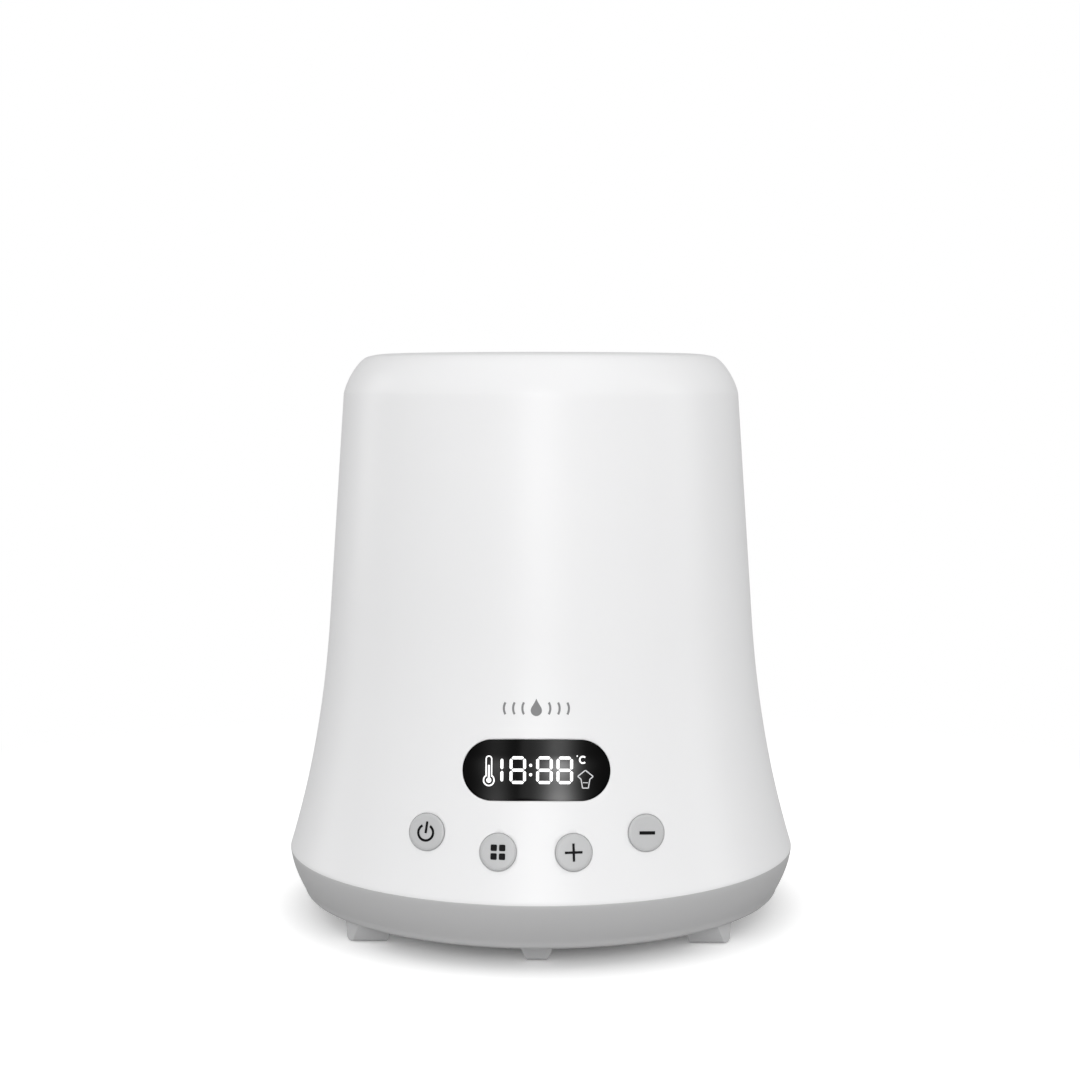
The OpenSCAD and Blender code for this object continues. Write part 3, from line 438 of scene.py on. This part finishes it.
def finish(name, light, dark=None, rough=0.4, spread=0.06, scale=60.0, grain=900.0, bump=0.05, depth=0.00002,
           metallic=0.0, coat=0.0, coat_rough=0.1):
    """A moulded, coated or metal finish: a slowly drifting colour, uneven gloss and a fine grain."""
    material, tree, shader = new_material(name)
    link = tree.links.new
    tone = tree.nodes.new("ShaderNodeGroup")
    tone.node_tree = slow_tone
    tone.inputs["Light"].default_value = (*light, 1)
    tone.inputs["Dark"].default_value = (*(dark or [c * 0.93 for c in light]), 1)
    tone.inputs["Scale"].default_value = 20.0
    link(tone.outputs["Color"], shader.inputs["Base Color"])
    fine = tree.nodes.new("ShaderNodeGroup")
    fine.node_tree = fine_surface
    fine.inputs["Scale"].default_value = scale
    fine.inputs["Roughness"].default_value = rough
    fine.inputs["Spread"].default_value = spread
    fine.inputs["Grain"].default_value = grain
    link(fine.outputs["Roughness"], shader.inputs["Roughness"])
    if bump:
        raised = tree.nodes.new("ShaderNodeBump")
        raised.inputs["Strength"].default_value = bump
        raised.inputs["Distance"].default_value = depth
        link(fine.outputs["Height"], raised.inputs["Height"])
        link(raised.outputs["Normal"], shader.inputs["Normal"])
    shader.inputs["Metallic"].default_value = metallic
    shader.inputs["Coat Weight"].default_value = coat
    shader.inputs["Coat Roughness"].default_value = coat_rough
    return material


def lit(name, colour, strength):
    """Figures of the display: white plastic with its own light."""
    material, tree, shader = new_material(name)
    cloud = tree.nodes.new("ShaderNodeTexNoise")
    place = tree.nodes.new("ShaderNodeTexCoord")
    cloud.inputs["Scale"].default_value = 700.0
    tree.links.new(place.outputs["Object"], cloud.inputs["Vector"])
    ramp = tree.nodes.new("ShaderNodeValToRGB")
    ramp.color_ramp.elements[0].color = (*[c * 0.86 for c in colour], 1)
    ramp.color_ramp.elements[1].color = (*colour, 1)
    tree.links.new(cloud.outputs["Fac"], ramp.inputs["Fac"])
    tree.links.new(ramp.outputs["Color"], shader.inputs["Emission Color"])
    shader.inputs["Emission Strength"].default_value = strength
    shader.inputs["Base Color"].default_value = (*[c * 0.6 for c in colour], 1)
    shader.inputs["Roughness"].default_value = 0.3
    return material


def striped(name, light, dark, scale, rough, metallic=0.0, direction="X", share=0.5):
    """A finish with fine bands: drawn metal, wound tape, a flat cable's cores."""
    material, tree, shader = new_material(name)
    link = tree.links.new
    place, wave = tree.nodes.new("ShaderNodeTexCoord"), tree.nodes.new("ShaderNodeTexWave")
    wave.bands_direction = direction
    wave.inputs["Scale"].default_value = scale
    wave.inputs["Distortion"].default_value = 0.4
    link(place.outputs["Object"], wave.inputs["Vector"])
    ramp = tree.nodes.new("ShaderNodeValToRGB")
    ramp.color_ramp.elements[0].color = (*dark, 1)
    ramp.color_ramp.elements[1].color = (*light, 1)
    ramp.color_ramp.elements[1].position = share
    link(wave.outputs["Fac"], ramp.inputs["Fac"])
    link(ramp.outputs["Color"], shader.inputs["Base Color"])
    raised = tree.nodes.new("ShaderNodeBump")
    raised.inputs["Strength"].default_value = 0.2
    raised.inputs["Distance"].default_value = 0.0001
    link(wave.outputs["Fac"], raised.inputs["Height"])
    link(raised.outputs["Normal"], shader.inputs["Normal"])
    shader.inputs["Roughness"].default_value = rough
    shader.inputs["Metallic"].default_value = metallic
    return material


def circuit(name):
    """Solder mask with copper tracks showing through it and bare pads."""
    material, tree, shader = new_material(name)
    link = tree.links.new
    place = tree.nodes.new("ShaderNodeTexCoord")
    tracks, pads = tree.nodes.new("ShaderNodeTexBrick"), tree.nodes.new("ShaderNodeTexVoronoi")
    tracks.inputs["Scale"].default_value = 160.0
    tracks.inputs["Mortar Size"].default_value = 0.05
    tracks.inputs["Color1"].default_value = (0.012, 0.11, 0.045, 1)
    tracks.inputs["Color2"].default_value = (0.010, 0.09, 0.038, 1)
    tracks.inputs["Mortar"].default_value = (0.035, 0.22, 0.09, 1)
    link(place.outputs["Object"], tracks.inputs["Vector"])
    pads.inputs["Scale"].default_value = 260.0
    link(place.outputs["Object"], pads.inputs["Vector"])
    spots = tree.nodes.new("ShaderNodeMath")
    spots.operation = "LESS_THAN"
    spots.inputs[1].default_value = 0.14
    link(pads.outputs["Distance"], spots.inputs[0])
    mix = tree.nodes.new("ShaderNodeMix")
    mix.data_type = "RGBA"
    link(spots.outputs[0], mix.inputs["Factor"])
    link(tracks.outputs["Color"], mix.inputs["A"])
    mix.inputs["B"].default_value = (0.62, 0.60, 0.56, 1)
    link(mix.outputs["Result"], shader.inputs["Base Color"])
    link(spots.outputs[0], shader.inputs["Metallic"])
    shader.inputs["Roughness"].default_value = 0.32
    return material


def smoked(name):
    """Smoked window: near black, with a painted reflection in its base colour: two soft vertical bands,
    brighter towards the top and bottom.
    """
    material, tree, shader = new_material(name)
    link = tree.links.new
    place, parts = tree.nodes.new("ShaderNodeTexCoord"), tree.nodes.new("ShaderNodeSeparateXYZ")
    link(place.outputs["Object"], parts.inputs["Vector"])
    # Painted reflection: two soft vertical bands of lighter base colour across the window, the right one
    # brighter.
    ramp = tree.nodes.new("ShaderNodeValToRGB")
    across = tree.nodes.new("ShaderNodeMapRange")
    across.inputs["From Min"].default_value = -0.019
    across.inputs["From Max"].default_value = 0.019
    link(parts.outputs["X"], across.inputs["Value"])
    link(across.outputs["Result"], ramp.inputs["Fac"])
    ramp.color_ramp.interpolation = "B_SPLINE"
    set_stops(ramp, [(0.0, 0.0005), (0.12, 0.002), (0.23, 0.075), (0.33, 0.001), (0.46, 0.001),
                     (0.56, 0.07), (0.66, 0.34), (0.75, 0.09), (0.84, 0.001), (1.0, 0.0005)])
    # The painted reflection is brightest a little inside the window's top and bottom edges and dimmer across
    # the middle.
    painted_reflection_height = tree.nodes.new("ShaderNodeMapRange")
    painted_reflection_height.inputs["From Min"].default_value = 0.0395
    painted_reflection_height.inputs["From Max"].default_value = 0.0548
    rise = tree.nodes.new("ShaderNodeValToRGB")
    rise.color_ramp.interpolation = "EASE"
    set_stops(rise, [(0.0, 0.2), (0.2, 0.8), (0.5, 0.6), (0.8, 1.0), (1.0, 0.25)])
    link(parts.outputs["Z"], painted_reflection_height.inputs["Value"])
    link(painted_reflection_height.outputs["Result"], rise.inputs["Fac"])
    mix = tree.nodes.new("ShaderNodeMix")
    mix.data_type = "RGBA"
    mix.blend_type = "MULTIPLY"
    mix.inputs["Factor"].default_value = 1.0
    link(ramp.outputs["Color"], mix.inputs["A"])
    link(rise.outputs["Color"], mix.inputs["B"])
    link(mix.outputs["Result"], shader.inputs["Base Color"])
    fine = tree.nodes.new("ShaderNodeGroup")
    fine.node_tree = fine_surface
    fine.inputs["Scale"].default_value = 90.0
    fine.inputs["Roughness"].default_value = 0.12
    fine.inputs["Spread"].default_value = 0.03
    link(fine.outputs["Roughness"], shader.inputs["Roughness"])
    shader.inputs["Specular IOR Level"].default_value = 0.05
    return material


# Each finish by the slot that wears it, in linear colours
finishes = {
    "shell_plastic": finish("white gloss shell", (0.80, 0.80, 0.805), (0.775, 0.775, 0.78), rough=0.36,
                            spread=0.04, scale=25.0, grain=420.0, bump=0.03, depth=0.00003, coat=0.12,
                            coat_rough=0.25),
    "pan_plastic": finish("satin grey base", (0.465, 0.465, 0.468), (0.435, 0.435, 0.438), rough=0.46,
                          spread=0.08, scale=50.0, grain=2600.0, bump=0.12, depth=0.00003),
    "foot_rubber": finish("pale soft feet", (0.55, 0.55, 0.555), (0.50, 0.50, 0.505), rough=0.5, spread=0.1,
                          grain=3000.0, bump=0.15, depth=0.00003),
    "key_plastic": finish("satin key caps", (0.505, 0.508, 0.512), (0.48, 0.483, 0.487), rough=0.38,
                          spread=0.05, scale=300.0, grain=5000.0, bump=0.08, depth=0.00001),
    "window_smoked": smoked("smoked window with painted reflection"),
    "tank_plastic": finish("white tank", (0.74, 0.74, 0.745), (0.70, 0.70, 0.71), rough=0.34, spread=0.08,
                           grain=1200.0, bump=0.06),
    "basket_plastic": finish("pale grey basket", (0.60, 0.605, 0.61), (0.57, 0.575, 0.58), rough=0.36,
                             spread=0.08, grain=1400.0, bump=0.08),
    "seal_silicone": finish("grey silicone", (0.5, 0.5, 0.51), rough=0.55, grain=2500.0, bump=0.1),
    "plate_metal": finish("dark coated plate", (0.16, 0.16, 0.165), (0.11, 0.11, 0.115), rough=0.42,
                          spread=0.12, scale=90.0, grain=2200.0, bump=0.3, depth=0.00004, metallic=0.55),
    "screw_steel": finish("plated screws", (0.52, 0.52, 0.54), (0.40, 0.40, 0.42), rough=0.34, spread=0.15,
                          metallic=1.0, grain=4000.0, bump=0.1),
    "dark_rubber": finish("dark gland rubber", (0.03, 0.03, 0.032), (0.022, 0.022, 0.024), rough=0.6,
                          spread=0.12, grain=2600.0, bump=0.2, depth=0.00004),
    "inner_plastic": finish("natural nylon", (0.68, 0.67, 0.64), rough=0.5, grain=1800.0, bump=0.1),
    "bracket_steel": striped("drawn steel", (0.60, 0.61, 0.62), (0.48, 0.49, 0.50), 900.0, 0.32,
                             metallic=1.0),
    "element_sheath": striped("heat-dulled sheath", (0.20, 0.19, 0.18), (0.11, 0.10, 0.10), 240.0, 0.5,
                              metallic=0.9),
    "sensor_brass": finish("turned brass", (0.60, 0.42, 0.16), (0.50, 0.34, 0.12), rough=0.3, metallic=1.0),
    "board_green": circuit("green circuit board"),
    "transformer_core": striped("wound yellow tape", (0.62, 0.42, 0.06), (0.48, 0.32, 0.05), 500.0, 0.42,
                                direction="Z"),
    "relay_blue": finish("blue relay case", (0.01, 0.045, 0.26), rough=0.38, grain=2000.0, bump=0.08),
    "capacitor_yellow": finish("yellow film case", (0.55, 0.33, 0.02), rough=0.42, grain=2000.0, bump=0.08),
    "capacitor_sleeve": striped("dark shrink sleeve", (0.03, 0.04, 0.10), (0.008, 0.012, 0.035), 60.0, 0.3,
                                direction="X", share=0.8),
    "chip_black": finish("moulding compound", (0.012, 0.012, 0.013), rough=0.55, grain=5000.0, bump=0.2),
    "sink_aluminium": striped("extruded aluminium", (0.68, 0.68, 0.70), (0.54, 0.54, 0.56), 1400.0, 0.3,
                              metallic=1.0),
    "fuse_body": finish("ceramic fuse", (0.66, 0.66, 0.60), rough=0.3, grain=1500.0, bump=0.05),
    "connector_ivory": finish("ivory nylon", (0.72, 0.69, 0.56), rough=0.48, grain=2400.0, bump=0.1),
    "lead_red": finish("red silicone lead", (0.32, 0.012, 0.01), (0.26, 0.01, 0.008), rough=0.5,
                       grain=3000.0, bump=0.1),
    "lead_white": finish("white silicone lead", (0.70, 0.70, 0.67), rough=0.5, grain=3000.0, bump=0.1),
    "ribbon_grey": striped("flat cable", (0.34, 0.35, 0.37), (0.20, 0.21, 0.22), 400.0, 0.45),
    "switch_black": finish("black switch body", (0.015, 0.015, 0.017), rough=0.45, grain=3000.0, bump=0.1),
    "display_face": finish("display face", (0.008, 0.008, 0.009), rough=0.25, grain=3000.0, bump=0.05),
    "holder_black": finish("black light box", (0.012, 0.012, 0.013), rough=0.5, grain=2500.0, bump=0.12),
    "foam_tape": finish("foam tape", (0.05, 0.05, 0.055), rough=0.85, grain=4000.0, bump=0.5, depth=0.0001),
}
dark_print = finish("dark key print", (0.003, 0.003, 0.0035), rough=0.5, scale=400.0, grain=6000.0, bump=0.05)
grey_print = finish("grey printed mark", (0.24, 0.24, 0.245), rough=0.4, scale=400.0, grain=6000.0, bump=0.05)
for print_ink in (dark_print, grey_print):
    print_ink.node_tree.nodes["Principled BSDF"].inputs["Specular IOR Level"].default_value = 0.12
bright = lit("lit figures", (1.0, 1.0, 1.0), 0.95)
dim = lit("dimmer icons", (0.75, 0.76, 0.78), 0.3)

slot_of = {part["node"]: part["material_slot"] for part in frame["record"]["subparts"]}
for name, node in nodes.items():
    node.data.materials.clear()
    node.data.materials.append(finishes[slot_of[name]])


def dress(piece, slot, material=None):
    """Gives a piece the finish of its slot, or another finish if one is named."""
    piece.data.materials.clear()
    piece.data.materials.append(material or finishes[slot])


# ---------- shell ----------

def curve(p0, p1, p2, p3, steps):
    """Points along a cubic curve, without its first point."""
    points = []
    for i in range(1, steps + 1):
        t = i / steps
        u = 1 - t
        points.append(tuple(u ** 3 * a + 3 * u * u * t * b + 3 * u * t * t * c + t ** 3 * d
                            for a, b, c, d in zip(p0, p1, p2, p3)))
    return points


def arc(cx, cz, r, a0, a1, steps):
    """Points along an arc, from angle a0 to a1 in degrees."""
    angles = [math.radians(a0 + (a1 - a0) * i / steps) for i in range(steps + 1)]
    return [(cx + r * math.cos(a), cz + r * math.sin(a)) for a in angles]


side_rows = [seam_z + (shoulder_z - seam_z) * (i / 76) ** 1.15 for i in range(1, 77)]
crown_steps = [1 - i / 8 for i in range(1, 9)]
inner_rows = (120, 100, 85, 75, 66, 58, 50, 42, 34, 27, 22)
under_rim = overall_h - wall - crown_h
collar_z = overall_h - collar_h
crown_out = shoulder_r - shoulder_w
crown_in = well_r + lip_r
shell_profile = (
    arc(base_r - seam_round, seam_z - 0.1, seam_round, -90, 0, 5)
    + [(outer_r(z), z) for z in side_rows]
    + curve((shoulder_r, shoulder_z), (shoulder_r - 0.06 * shoulder_w, shoulder_z + 0.26 * shoulder_h),
            (shoulder_r - 0.53 * shoulder_w, shoulder_z + 0.81 * shoulder_h),
            (crown_out, overall_h - crown_h), 22)
    + [(crown_in + (crown_out - crown_in) * t, overall_h - crown_h * t ** 2) for t in crown_steps]
    + arc(crown_in, overall_h - lip_r, lip_r, 90, 180, 12)[1:]
    + [(well_r, collar_z + collar_cut), (well_r + collar_cut, collar_z),
       (well_r + wall - collar_cut, collar_z), (well_r + wall, collar_z + collar_cut)]
    + [(well_r + wall, under_rim), (crown_out - 0.5, under_rim)]
    + [(shoulder_r - wall - 1.2, shoulder_z + 6), (outer_r(shoulder_z) - wall, shoulder_z)]
    + [(outer_r(z) - wall, z) for z in inner_rows]
    + [(outer_r(seam_z) - wall, seam_z - 0.3)]
)
shell = turned("shell", shell_profile, 288, joined_up=True)


def stretch_pill(piece, length, x, y):
    """Draws a round piece out along the panel by length, and moves it to its place."""
    for v in piece.data.vertices:
        if abs(v.co.x) > 1e-6:
            v.co.x += math.copysign(length / 2, v.co.x)
        v.co.x += x
        v.co.y += y


def pill_cutter(name, x, y, w, h, flare, depth=6.0):
    """A cutter for a hole in the shell, whose edge is rounded over by flare."""
    piece = circle(name, 96, h / 2, (0, 0, -depth))
    z, grow = -depth, 0.0
    for z2, grow2 in ((-flare, 0.0), (-0.6 * flare, 0.08 * flare), (-0.3 * flare, 0.28 * flare),
                      (-0.1 * flare, 0.6 * flare), (0.02, 1.0 * flare), (3.0, 1.6 * flare)):
        draw_ring(z2 - z, (h / 2 + grow2) / (h / 2 + grow))
        z, grow = z2, grow2
    bpy.ops.mesh.edge_face_add()
    select_where(piece, lambda at: abs(at.z + depth) < 1e-4)
    bpy.ops.mesh.edge_face_add()
    face_outward()
    stretch_pill(piece, w - h, x, y)
    lay_on_shell(piece)
    return piece


cutters = [pill_cutter("window_cut", 0, window_y, window_w, window_h, 0.3)]
for name, turn in key_turns.items():
    x, y = key_centre(turn)
    opening = 2 * (key_r + key_gap)
    cutters.append(pill_cutter(name + "_cut", x, y, opening, opening, 0.12))
cutter = joined("panel_cuts", cutters)
cut = shell.modifiers.new("openings", "BOOLEAN")
cut.operation = "DIFFERENCE"
cut.solver = "EXACT"
cut.object = cutter
apply_all(shell)
bpy.data.objects.remove(cutter)
smooth(shell, 34)
dress(shell, "shell_plastic")
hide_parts("outer_shell")
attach(shell, "housing")

# ---------- base pan, tank, basket, feet ----------

pan = merged_copy("base_pan", "base", 30)
dress(pan, "pan_plastic")
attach(pan, "housing")

tank = merged_copy("water_tank", "tank", 34)
dress(tank, "tank_plastic")
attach(tank, "housing")

basket = merged_copy("lift_basket", "basket", 34)
rounding = basket.modifiers.new("soft edges", "BEVEL")
rounding.width = 0.25 * mm
rounding.segments = 2
rounding.limit_method = "ANGLE"
rounding.angle_limit = math.radians(50)
apply_all(basket)
smooth(basket, 34)
dress(basket, "basket_plastic")
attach(basket, "basket")

for i in range(1, 7):
    foot = merged_copy("foot_%d" % i, "foot_piece_%d" % i, 30)
    dress(foot, "foot_rubber")
    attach(foot, "housing")

# ---------- window and figures ----------

pane_r = window_h / 2 - pane_gap
pane = flat_disc("pane", 0, 0, pane_r, steps=96, rings=12)
edit_all(pane)
bpy.ops.mesh.extrude_region_move(TRANSFORM_OT_translate={"value": (0, 0, -pane_t)})
face_outward()
for v in pane.data.vertices:
    on_edge = math.hypot(v.co.x, v.co.y) > 0.995 * pane_r
    v.co.z -= 2 * pane_inset if on_edge else pane_inset
stretch_pill(pane, window_w - window_h, 0, window_y)
edit_all(pane)
bpy.ops.mesh.subdivide(number_cuts=2)
settle()
lay_on_shell(pane)
smooth(pane, 40)
dress(pane, "window_smoked")
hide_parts("display_window")
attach(pane, "housing")


def figure(x, segments, w=4.25, h=6.95, t=0.76, gap=0.2):
    """The bars of one seven-segment figure, by letter, each with pointed ends and a gap to the next."""
    rise, reach = (h - t) / 2, (w - t) / 2
    places = {"a": (0, rise, 0), "d": (0, -rise, 0), "g": (0, 0, 0),
              "f": (-reach, rise / 2, 90), "b": (reach, rise / 2, 90),
              "e": (-reach, -rise / 2, 90), "c": (reach, -rise / 2, 90)}
    bars = []
    for letter in segments:
        dx, dy, turn = places[letter]
        length = (w - t if turn == 0 else rise) - 2 * gap
        bars.append(tipped_bar(x + dx, window_y + dy, length, t, turn))
    return bars


figures = figure(-9.55, "bc", w=2.2)
for x in (-4.72, 2.12, 7.35):
    figures += figure(x, "abcdefg")
for dy in (1.2, -1.15):
    figures.append(flat_disc("dot", -1.42, window_y + dy, 0.4, steps=20, rings=2))
digits = printed("display_figures", figures, -print_inset, "housing")
dress(digits, "display_face", bright)

unit_x, unit_y = 12.0, window_y + 2.65
tube_x, tube_y = -12.2, window_y - 0.35
units = [flat_ring("c", unit_x, unit_y, 0.82, 0.4, gap=86, turn=0),
         flat_bar("degree", unit_x - 1.45, unit_y + 0.95, 0.34, 0.34, 30, round_r=0.1),
         flat_bar("tube_left", tube_x - 0.72, tube_y + 0.95, 4.5, 0.3, 90),
         flat_bar("tube_right", tube_x + 0.72, tube_y + 0.95, 4.5, 0.3, 90),
         flat_ring("tube_top", tube_x, tube_y + 3.15, 0.72, 0.3, gap=184, turn=270),
         flat_bar("column", tube_x, tube_y - 0.05, 3.4, 0.5, 90, round_r=0.2),
         flat_ring("bulb", tube_x, tube_y - 2.2, 1.36, 0.34, gap=66, turn=90, steps=60),
         flat_disc("bead", tube_x, tube_y - 2.2, 0.66, steps=32, rings=2)]
lights = printed("display_units", units, -print_inset, "housing")
dress(lights, "display_face", bright)

icon_x, icon_y = 12.65, window_y - 2.1
lines = [flat_bar("roof_left", icon_x - 1.0, icon_y + 1.35, 2.5, 0.28, 38),
         flat_bar("roof_right", icon_x + 1.0, icon_y + 1.35, 2.5, 0.28, -38),
         flat_bar("eave_left", icon_x - 1.6, icon_y + 0.25, 1.0, 0.28, -40),
         flat_bar("eave_right", icon_x + 1.6, icon_y + 0.25, 1.0, 0.28, 40),
         flat_bar("side_left", icon_x - 0.95, icon_y - 1.2, 2.4, 0.26, 100),
         flat_bar("side_right", icon_x + 0.95, icon_y - 1.2, 2.4, 0.26, 80),
         flat_bar("bottom", icon_x, icon_y - 2.35, 1.4, 0.26),
         flat_bar("level", icon_x, icon_y - 1.0, 1.3, 0.2)]
icon = printed("display_icon", lines, -print_inset, "housing")
dress(icon, "display_face", dim)

# ---------- keys ----------

edge_turns = [math.radians(a) for a in range(5, 90, 7)]
cap_profile = (
    [(key_r, -key_depth), (key_r, 0.0)]
    + [(key_r - 1.0 + math.cos(a), key_proud - key_round + key_round * math.sin(a)) for a in edge_turns]
    + [(3.4, key_proud + 0.01), (2.6, key_proud), (1.7, key_proud - 0.01), (0.8, key_proud - 0.02)]
)
for name, turn in key_turns.items():
    x, y = key_centre(turn)
    cap = turned(name + "_cap", [(r / mm, z / mm) for r, z in cap_profile], 96)
    for v in cap.data.vertices:
        v.co.x += x
        v.co.y += y
    lay_on_shell(cap)
    smooth(cap, 40)
    dress(cap, "key_plastic")
    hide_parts(name + "_key")
    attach(cap, name + "_button")

lean = {"power": -8, "mode": -1, "plus": 2, "minus": 0}
symbol_lift = key_proud + 0.02


def leaning(parts, name):
    """Turns a key's symbol to stand square to the housing's flare."""
    for part in parts:
        turn_and_place(part, *key_centre(key_turns[name]), lean[name])
    symbol = printed(name + "_symbol", parts, symbol_lift, name + "_button", thick=0.06)
    dress(symbol, "key_plastic", dark_print)


leaning([flat_ring("ring", -0.2, -0.2, 1.98, 0.62, gap=60, turn=92, steps=96),
         flat_bar("stroke", -0.2, 1.15, 3.0, 0.62, 90, round_r=0.15)], "power")
leaning([flat_bar("square", side * 1.08, up * 1.08, 1.62, 1.62, round_r=0.3)
         for side in (-1, 1) for up in (-1, 1)], "mode")
leaning([flat_bar("across", 0, 0, 4.5, 0.62), flat_bar("upper", 0, 1.28, 1.94, 0.62, 90),
         flat_bar("lower", 0, -1.28, 1.94, 0.62, 90)], "plus")
leaning([flat_bar("stroke", 0.25, 0, 4.1, 0.85)], "minus")

# ---------- printed mark ----------

mark_y = 23.3
drop_r = 1.45
ripple_r = 3.0
drop = flat_disc("drop", 0, 0, drop_r, steps=64)
for v in drop.data.vertices:
    up = max(0.0, v.co.y / drop_r) ** 3
    v.co.x *= 1 - 0.8 * up
    v.co.y = v.co.y - 0.5 + 1.5 * up
shapes = [drop]
for reach in (3.6, 6.0, 8.4):
    for side, facing in ((-1, 0), (1, 180)):
        shapes.append(flat_ring("ripple", side * (reach - ripple_r), 0, ripple_r, 0.55, gap=300,
                                turn=facing, steps=120))
for shape in shapes:
    for v in shape.data.vertices:
        v.co.y += mark_y
mark = printed("drop_mark", shapes, 0.02, "housing")
dress(mark, "shell_plastic", grey_print)

# ---------- studio ----------

def table_material():
    """White table: its own glow is painted weaker close to the warmer, so the soft shadow under it is partly
    cast and partly painted shade, and it fades into plain white further out.

    The camera sees the table with its own glow, and all other rays see a plain light grey.
    """
    table, tree, shader = new_material("white table")
    new, link = tree.nodes.new, tree.links.new
    shader.inputs["Base Color"].default_value = (0.9, 0.9, 0.9, 1)
    shader.inputs["Roughness"].default_value = 0.75
    shader.inputs["Emission Color"].default_value = (1, 1, 1, 1)
    place, length = new("ShaderNodeTexCoord"), new("ShaderNodeVectorMath")
    length.operation = "LENGTH"
    link(place.outputs["Object"], length.inputs[0])
    reach, painted_shadow_glow = new("ShaderNodeMapRange"), new("ShaderNodeValToRGB")
    reach.inputs["From Max"].default_value = 0.1
    # Painted shadow: the table's glow is zero within 42 mm of the centre and rises to full strength at 100
    # mm.
    set_stops(painted_shadow_glow, [(0.42, 0.0), (0.52, 0.12), (0.58, 0.23), (0.64, 0.29), (0.71, 0.33), (0.78, 0.41),
                     (1.0, 0.52)])
    link(length.outputs["Value"], reach.inputs["Value"])
    link(reach.outputs["Result"], painted_shadow_glow.inputs["Fac"])
    link(painted_shadow_glow.outputs["Color"], shader.inputs["Emission Strength"])
    far, fade, blend = new("ShaderNodeEmission"), new("ShaderNodeMapRange"), new("ShaderNodeMixShader")
    fade.interpolation_type = "SMOOTHSTEP"
    fade.inputs["From Min"].default_value = 0.12
    fade.inputs["From Max"].default_value = 0.32
    link(length.outputs["Value"], fade.inputs["Value"])
    link(fade.outputs["Result"], blend.inputs["Fac"])
    link(shader.outputs["BSDF"], blend.inputs[1])
    link(far.outputs["Emission"], blend.inputs[2])
    bounce = new("ShaderNodeBsdfDiffuse")
    bounce.inputs["Color"].default_value = (0.62, 0.62, 0.62, 1)
    seen, choice = new("ShaderNodeLightPath"), new("ShaderNodeMixShader")
    link(seen.outputs["Is Camera Ray"], choice.inputs["Fac"])
    link(bounce.outputs["BSDF"], choice.inputs[1])
    link(blend.outputs["Shader"], choice.inputs[2])
    link(choice.outputs["Shader"], tree.nodes["Material Output"].inputs["Surface"])
    return table


settle()
bpy.ops.mesh.primitive_circle_add(vertices=128, radius=1.6, fill_type="NGON", location=(0, 0, -0.0003))
floor = bpy.context.object
floor.name = "floor"
floor.data.materials.append(table_material())


def softbox(name, place, width, height, brightness):
    """A soft lamp that faces the warmer, told by how bright its face looks."""
    light = bpy.data.lights.new(name, "AREA")
    light.shape = "RECTANGLE"
    light.size, light.size_y = width, height
    light.energy = brightness * math.pi * width * height
    lamp = bpy.data.objects.new(name, light)
    bpy.context.scene.collection.objects.link(lamp)
    lamp.location = place
    lamp.rotation_euler = (Vector((0, 0, 0.08)) - Vector(place)).to_track_quat("-Z", "Y").to_euler()


softbox("top light", (0.0, -0.1, 1.3), 1.2, 1.2, 0.4)
softbox("front light", (0.0, -1.6, 0.35), 0.5, 1.3, 3.9)
softbox("right light", (1.55, -0.12, 0.35), 0.45, 1.3, 1.6)
softbox("left edge light", (-1.45, 0.55, 0.35), 0.45, 1.3, 1.5)


def studio_world():
    """A room that is brighter in front of the warmer than behind it. The camera sees it plain white."""
    world = bpy.data.worlds.new("studio")
    world.use_nodes = True
    new, link = world.node_tree.nodes.new, world.node_tree.links.new
    room, backdrop = world.node_tree.nodes["Background"], new("ShaderNodeBackground")
    for background in (room, backdrop):
        background.inputs["Color"].default_value = (1, 1, 1, 1)
    place, parts, depth = new("ShaderNodeTexCoord"), new("ShaderNodeSeparateXYZ"), new("ShaderNodeMapRange")
    depth.inputs["From Min"].default_value = -1.0
    depth.inputs["From Max"].default_value = 0.35
    depth.inputs["To Min"].default_value = 1.16
    depth.inputs["To Max"].default_value = 0.50
    link(place.outputs["Generated"], parts.inputs["Vector"])
    link(parts.outputs["Y"], depth.inputs["Value"])
    link(depth.outputs["Result"], room.inputs["Strength"])
    seen, choice = new("ShaderNodeLightPath"), new("ShaderNodeMixShader")
    link(seen.outputs["Is Camera Ray"], choice.inputs["Fac"])
    link(room.outputs["Background"], choice.inputs[1])
    link(backdrop.outputs["Background"], choice.inputs[2])
    link(choice.outputs["Shader"], world.node_tree.nodes["World Output"].inputs["Surface"])
    return world


bpy.context.scene.world = studio_world()

camera_away = 0.552
camera_height = 0.1507
camera_turn = math.radians(1.1)
lens = bpy.data.cameras.new("camera")
lens.lens = 63.33
lens.sensor_width = 36
lens.shift_x = -0.0009
lens.shift_y = -0.1472
camera = bpy.data.objects.new("camera", lens)
camera.location = (camera_away * math.sin(camera_turn), -camera_away * math.cos(camera_turn), camera_height)
camera.rotation_euler = (math.radians(90), 0, camera_turn)
bpy.context.scene.collection.objects.link(camera)
bpy.context.scene.camera = camera
bpy.context.scene.view_settings.view_transform = "Standard"

settle()
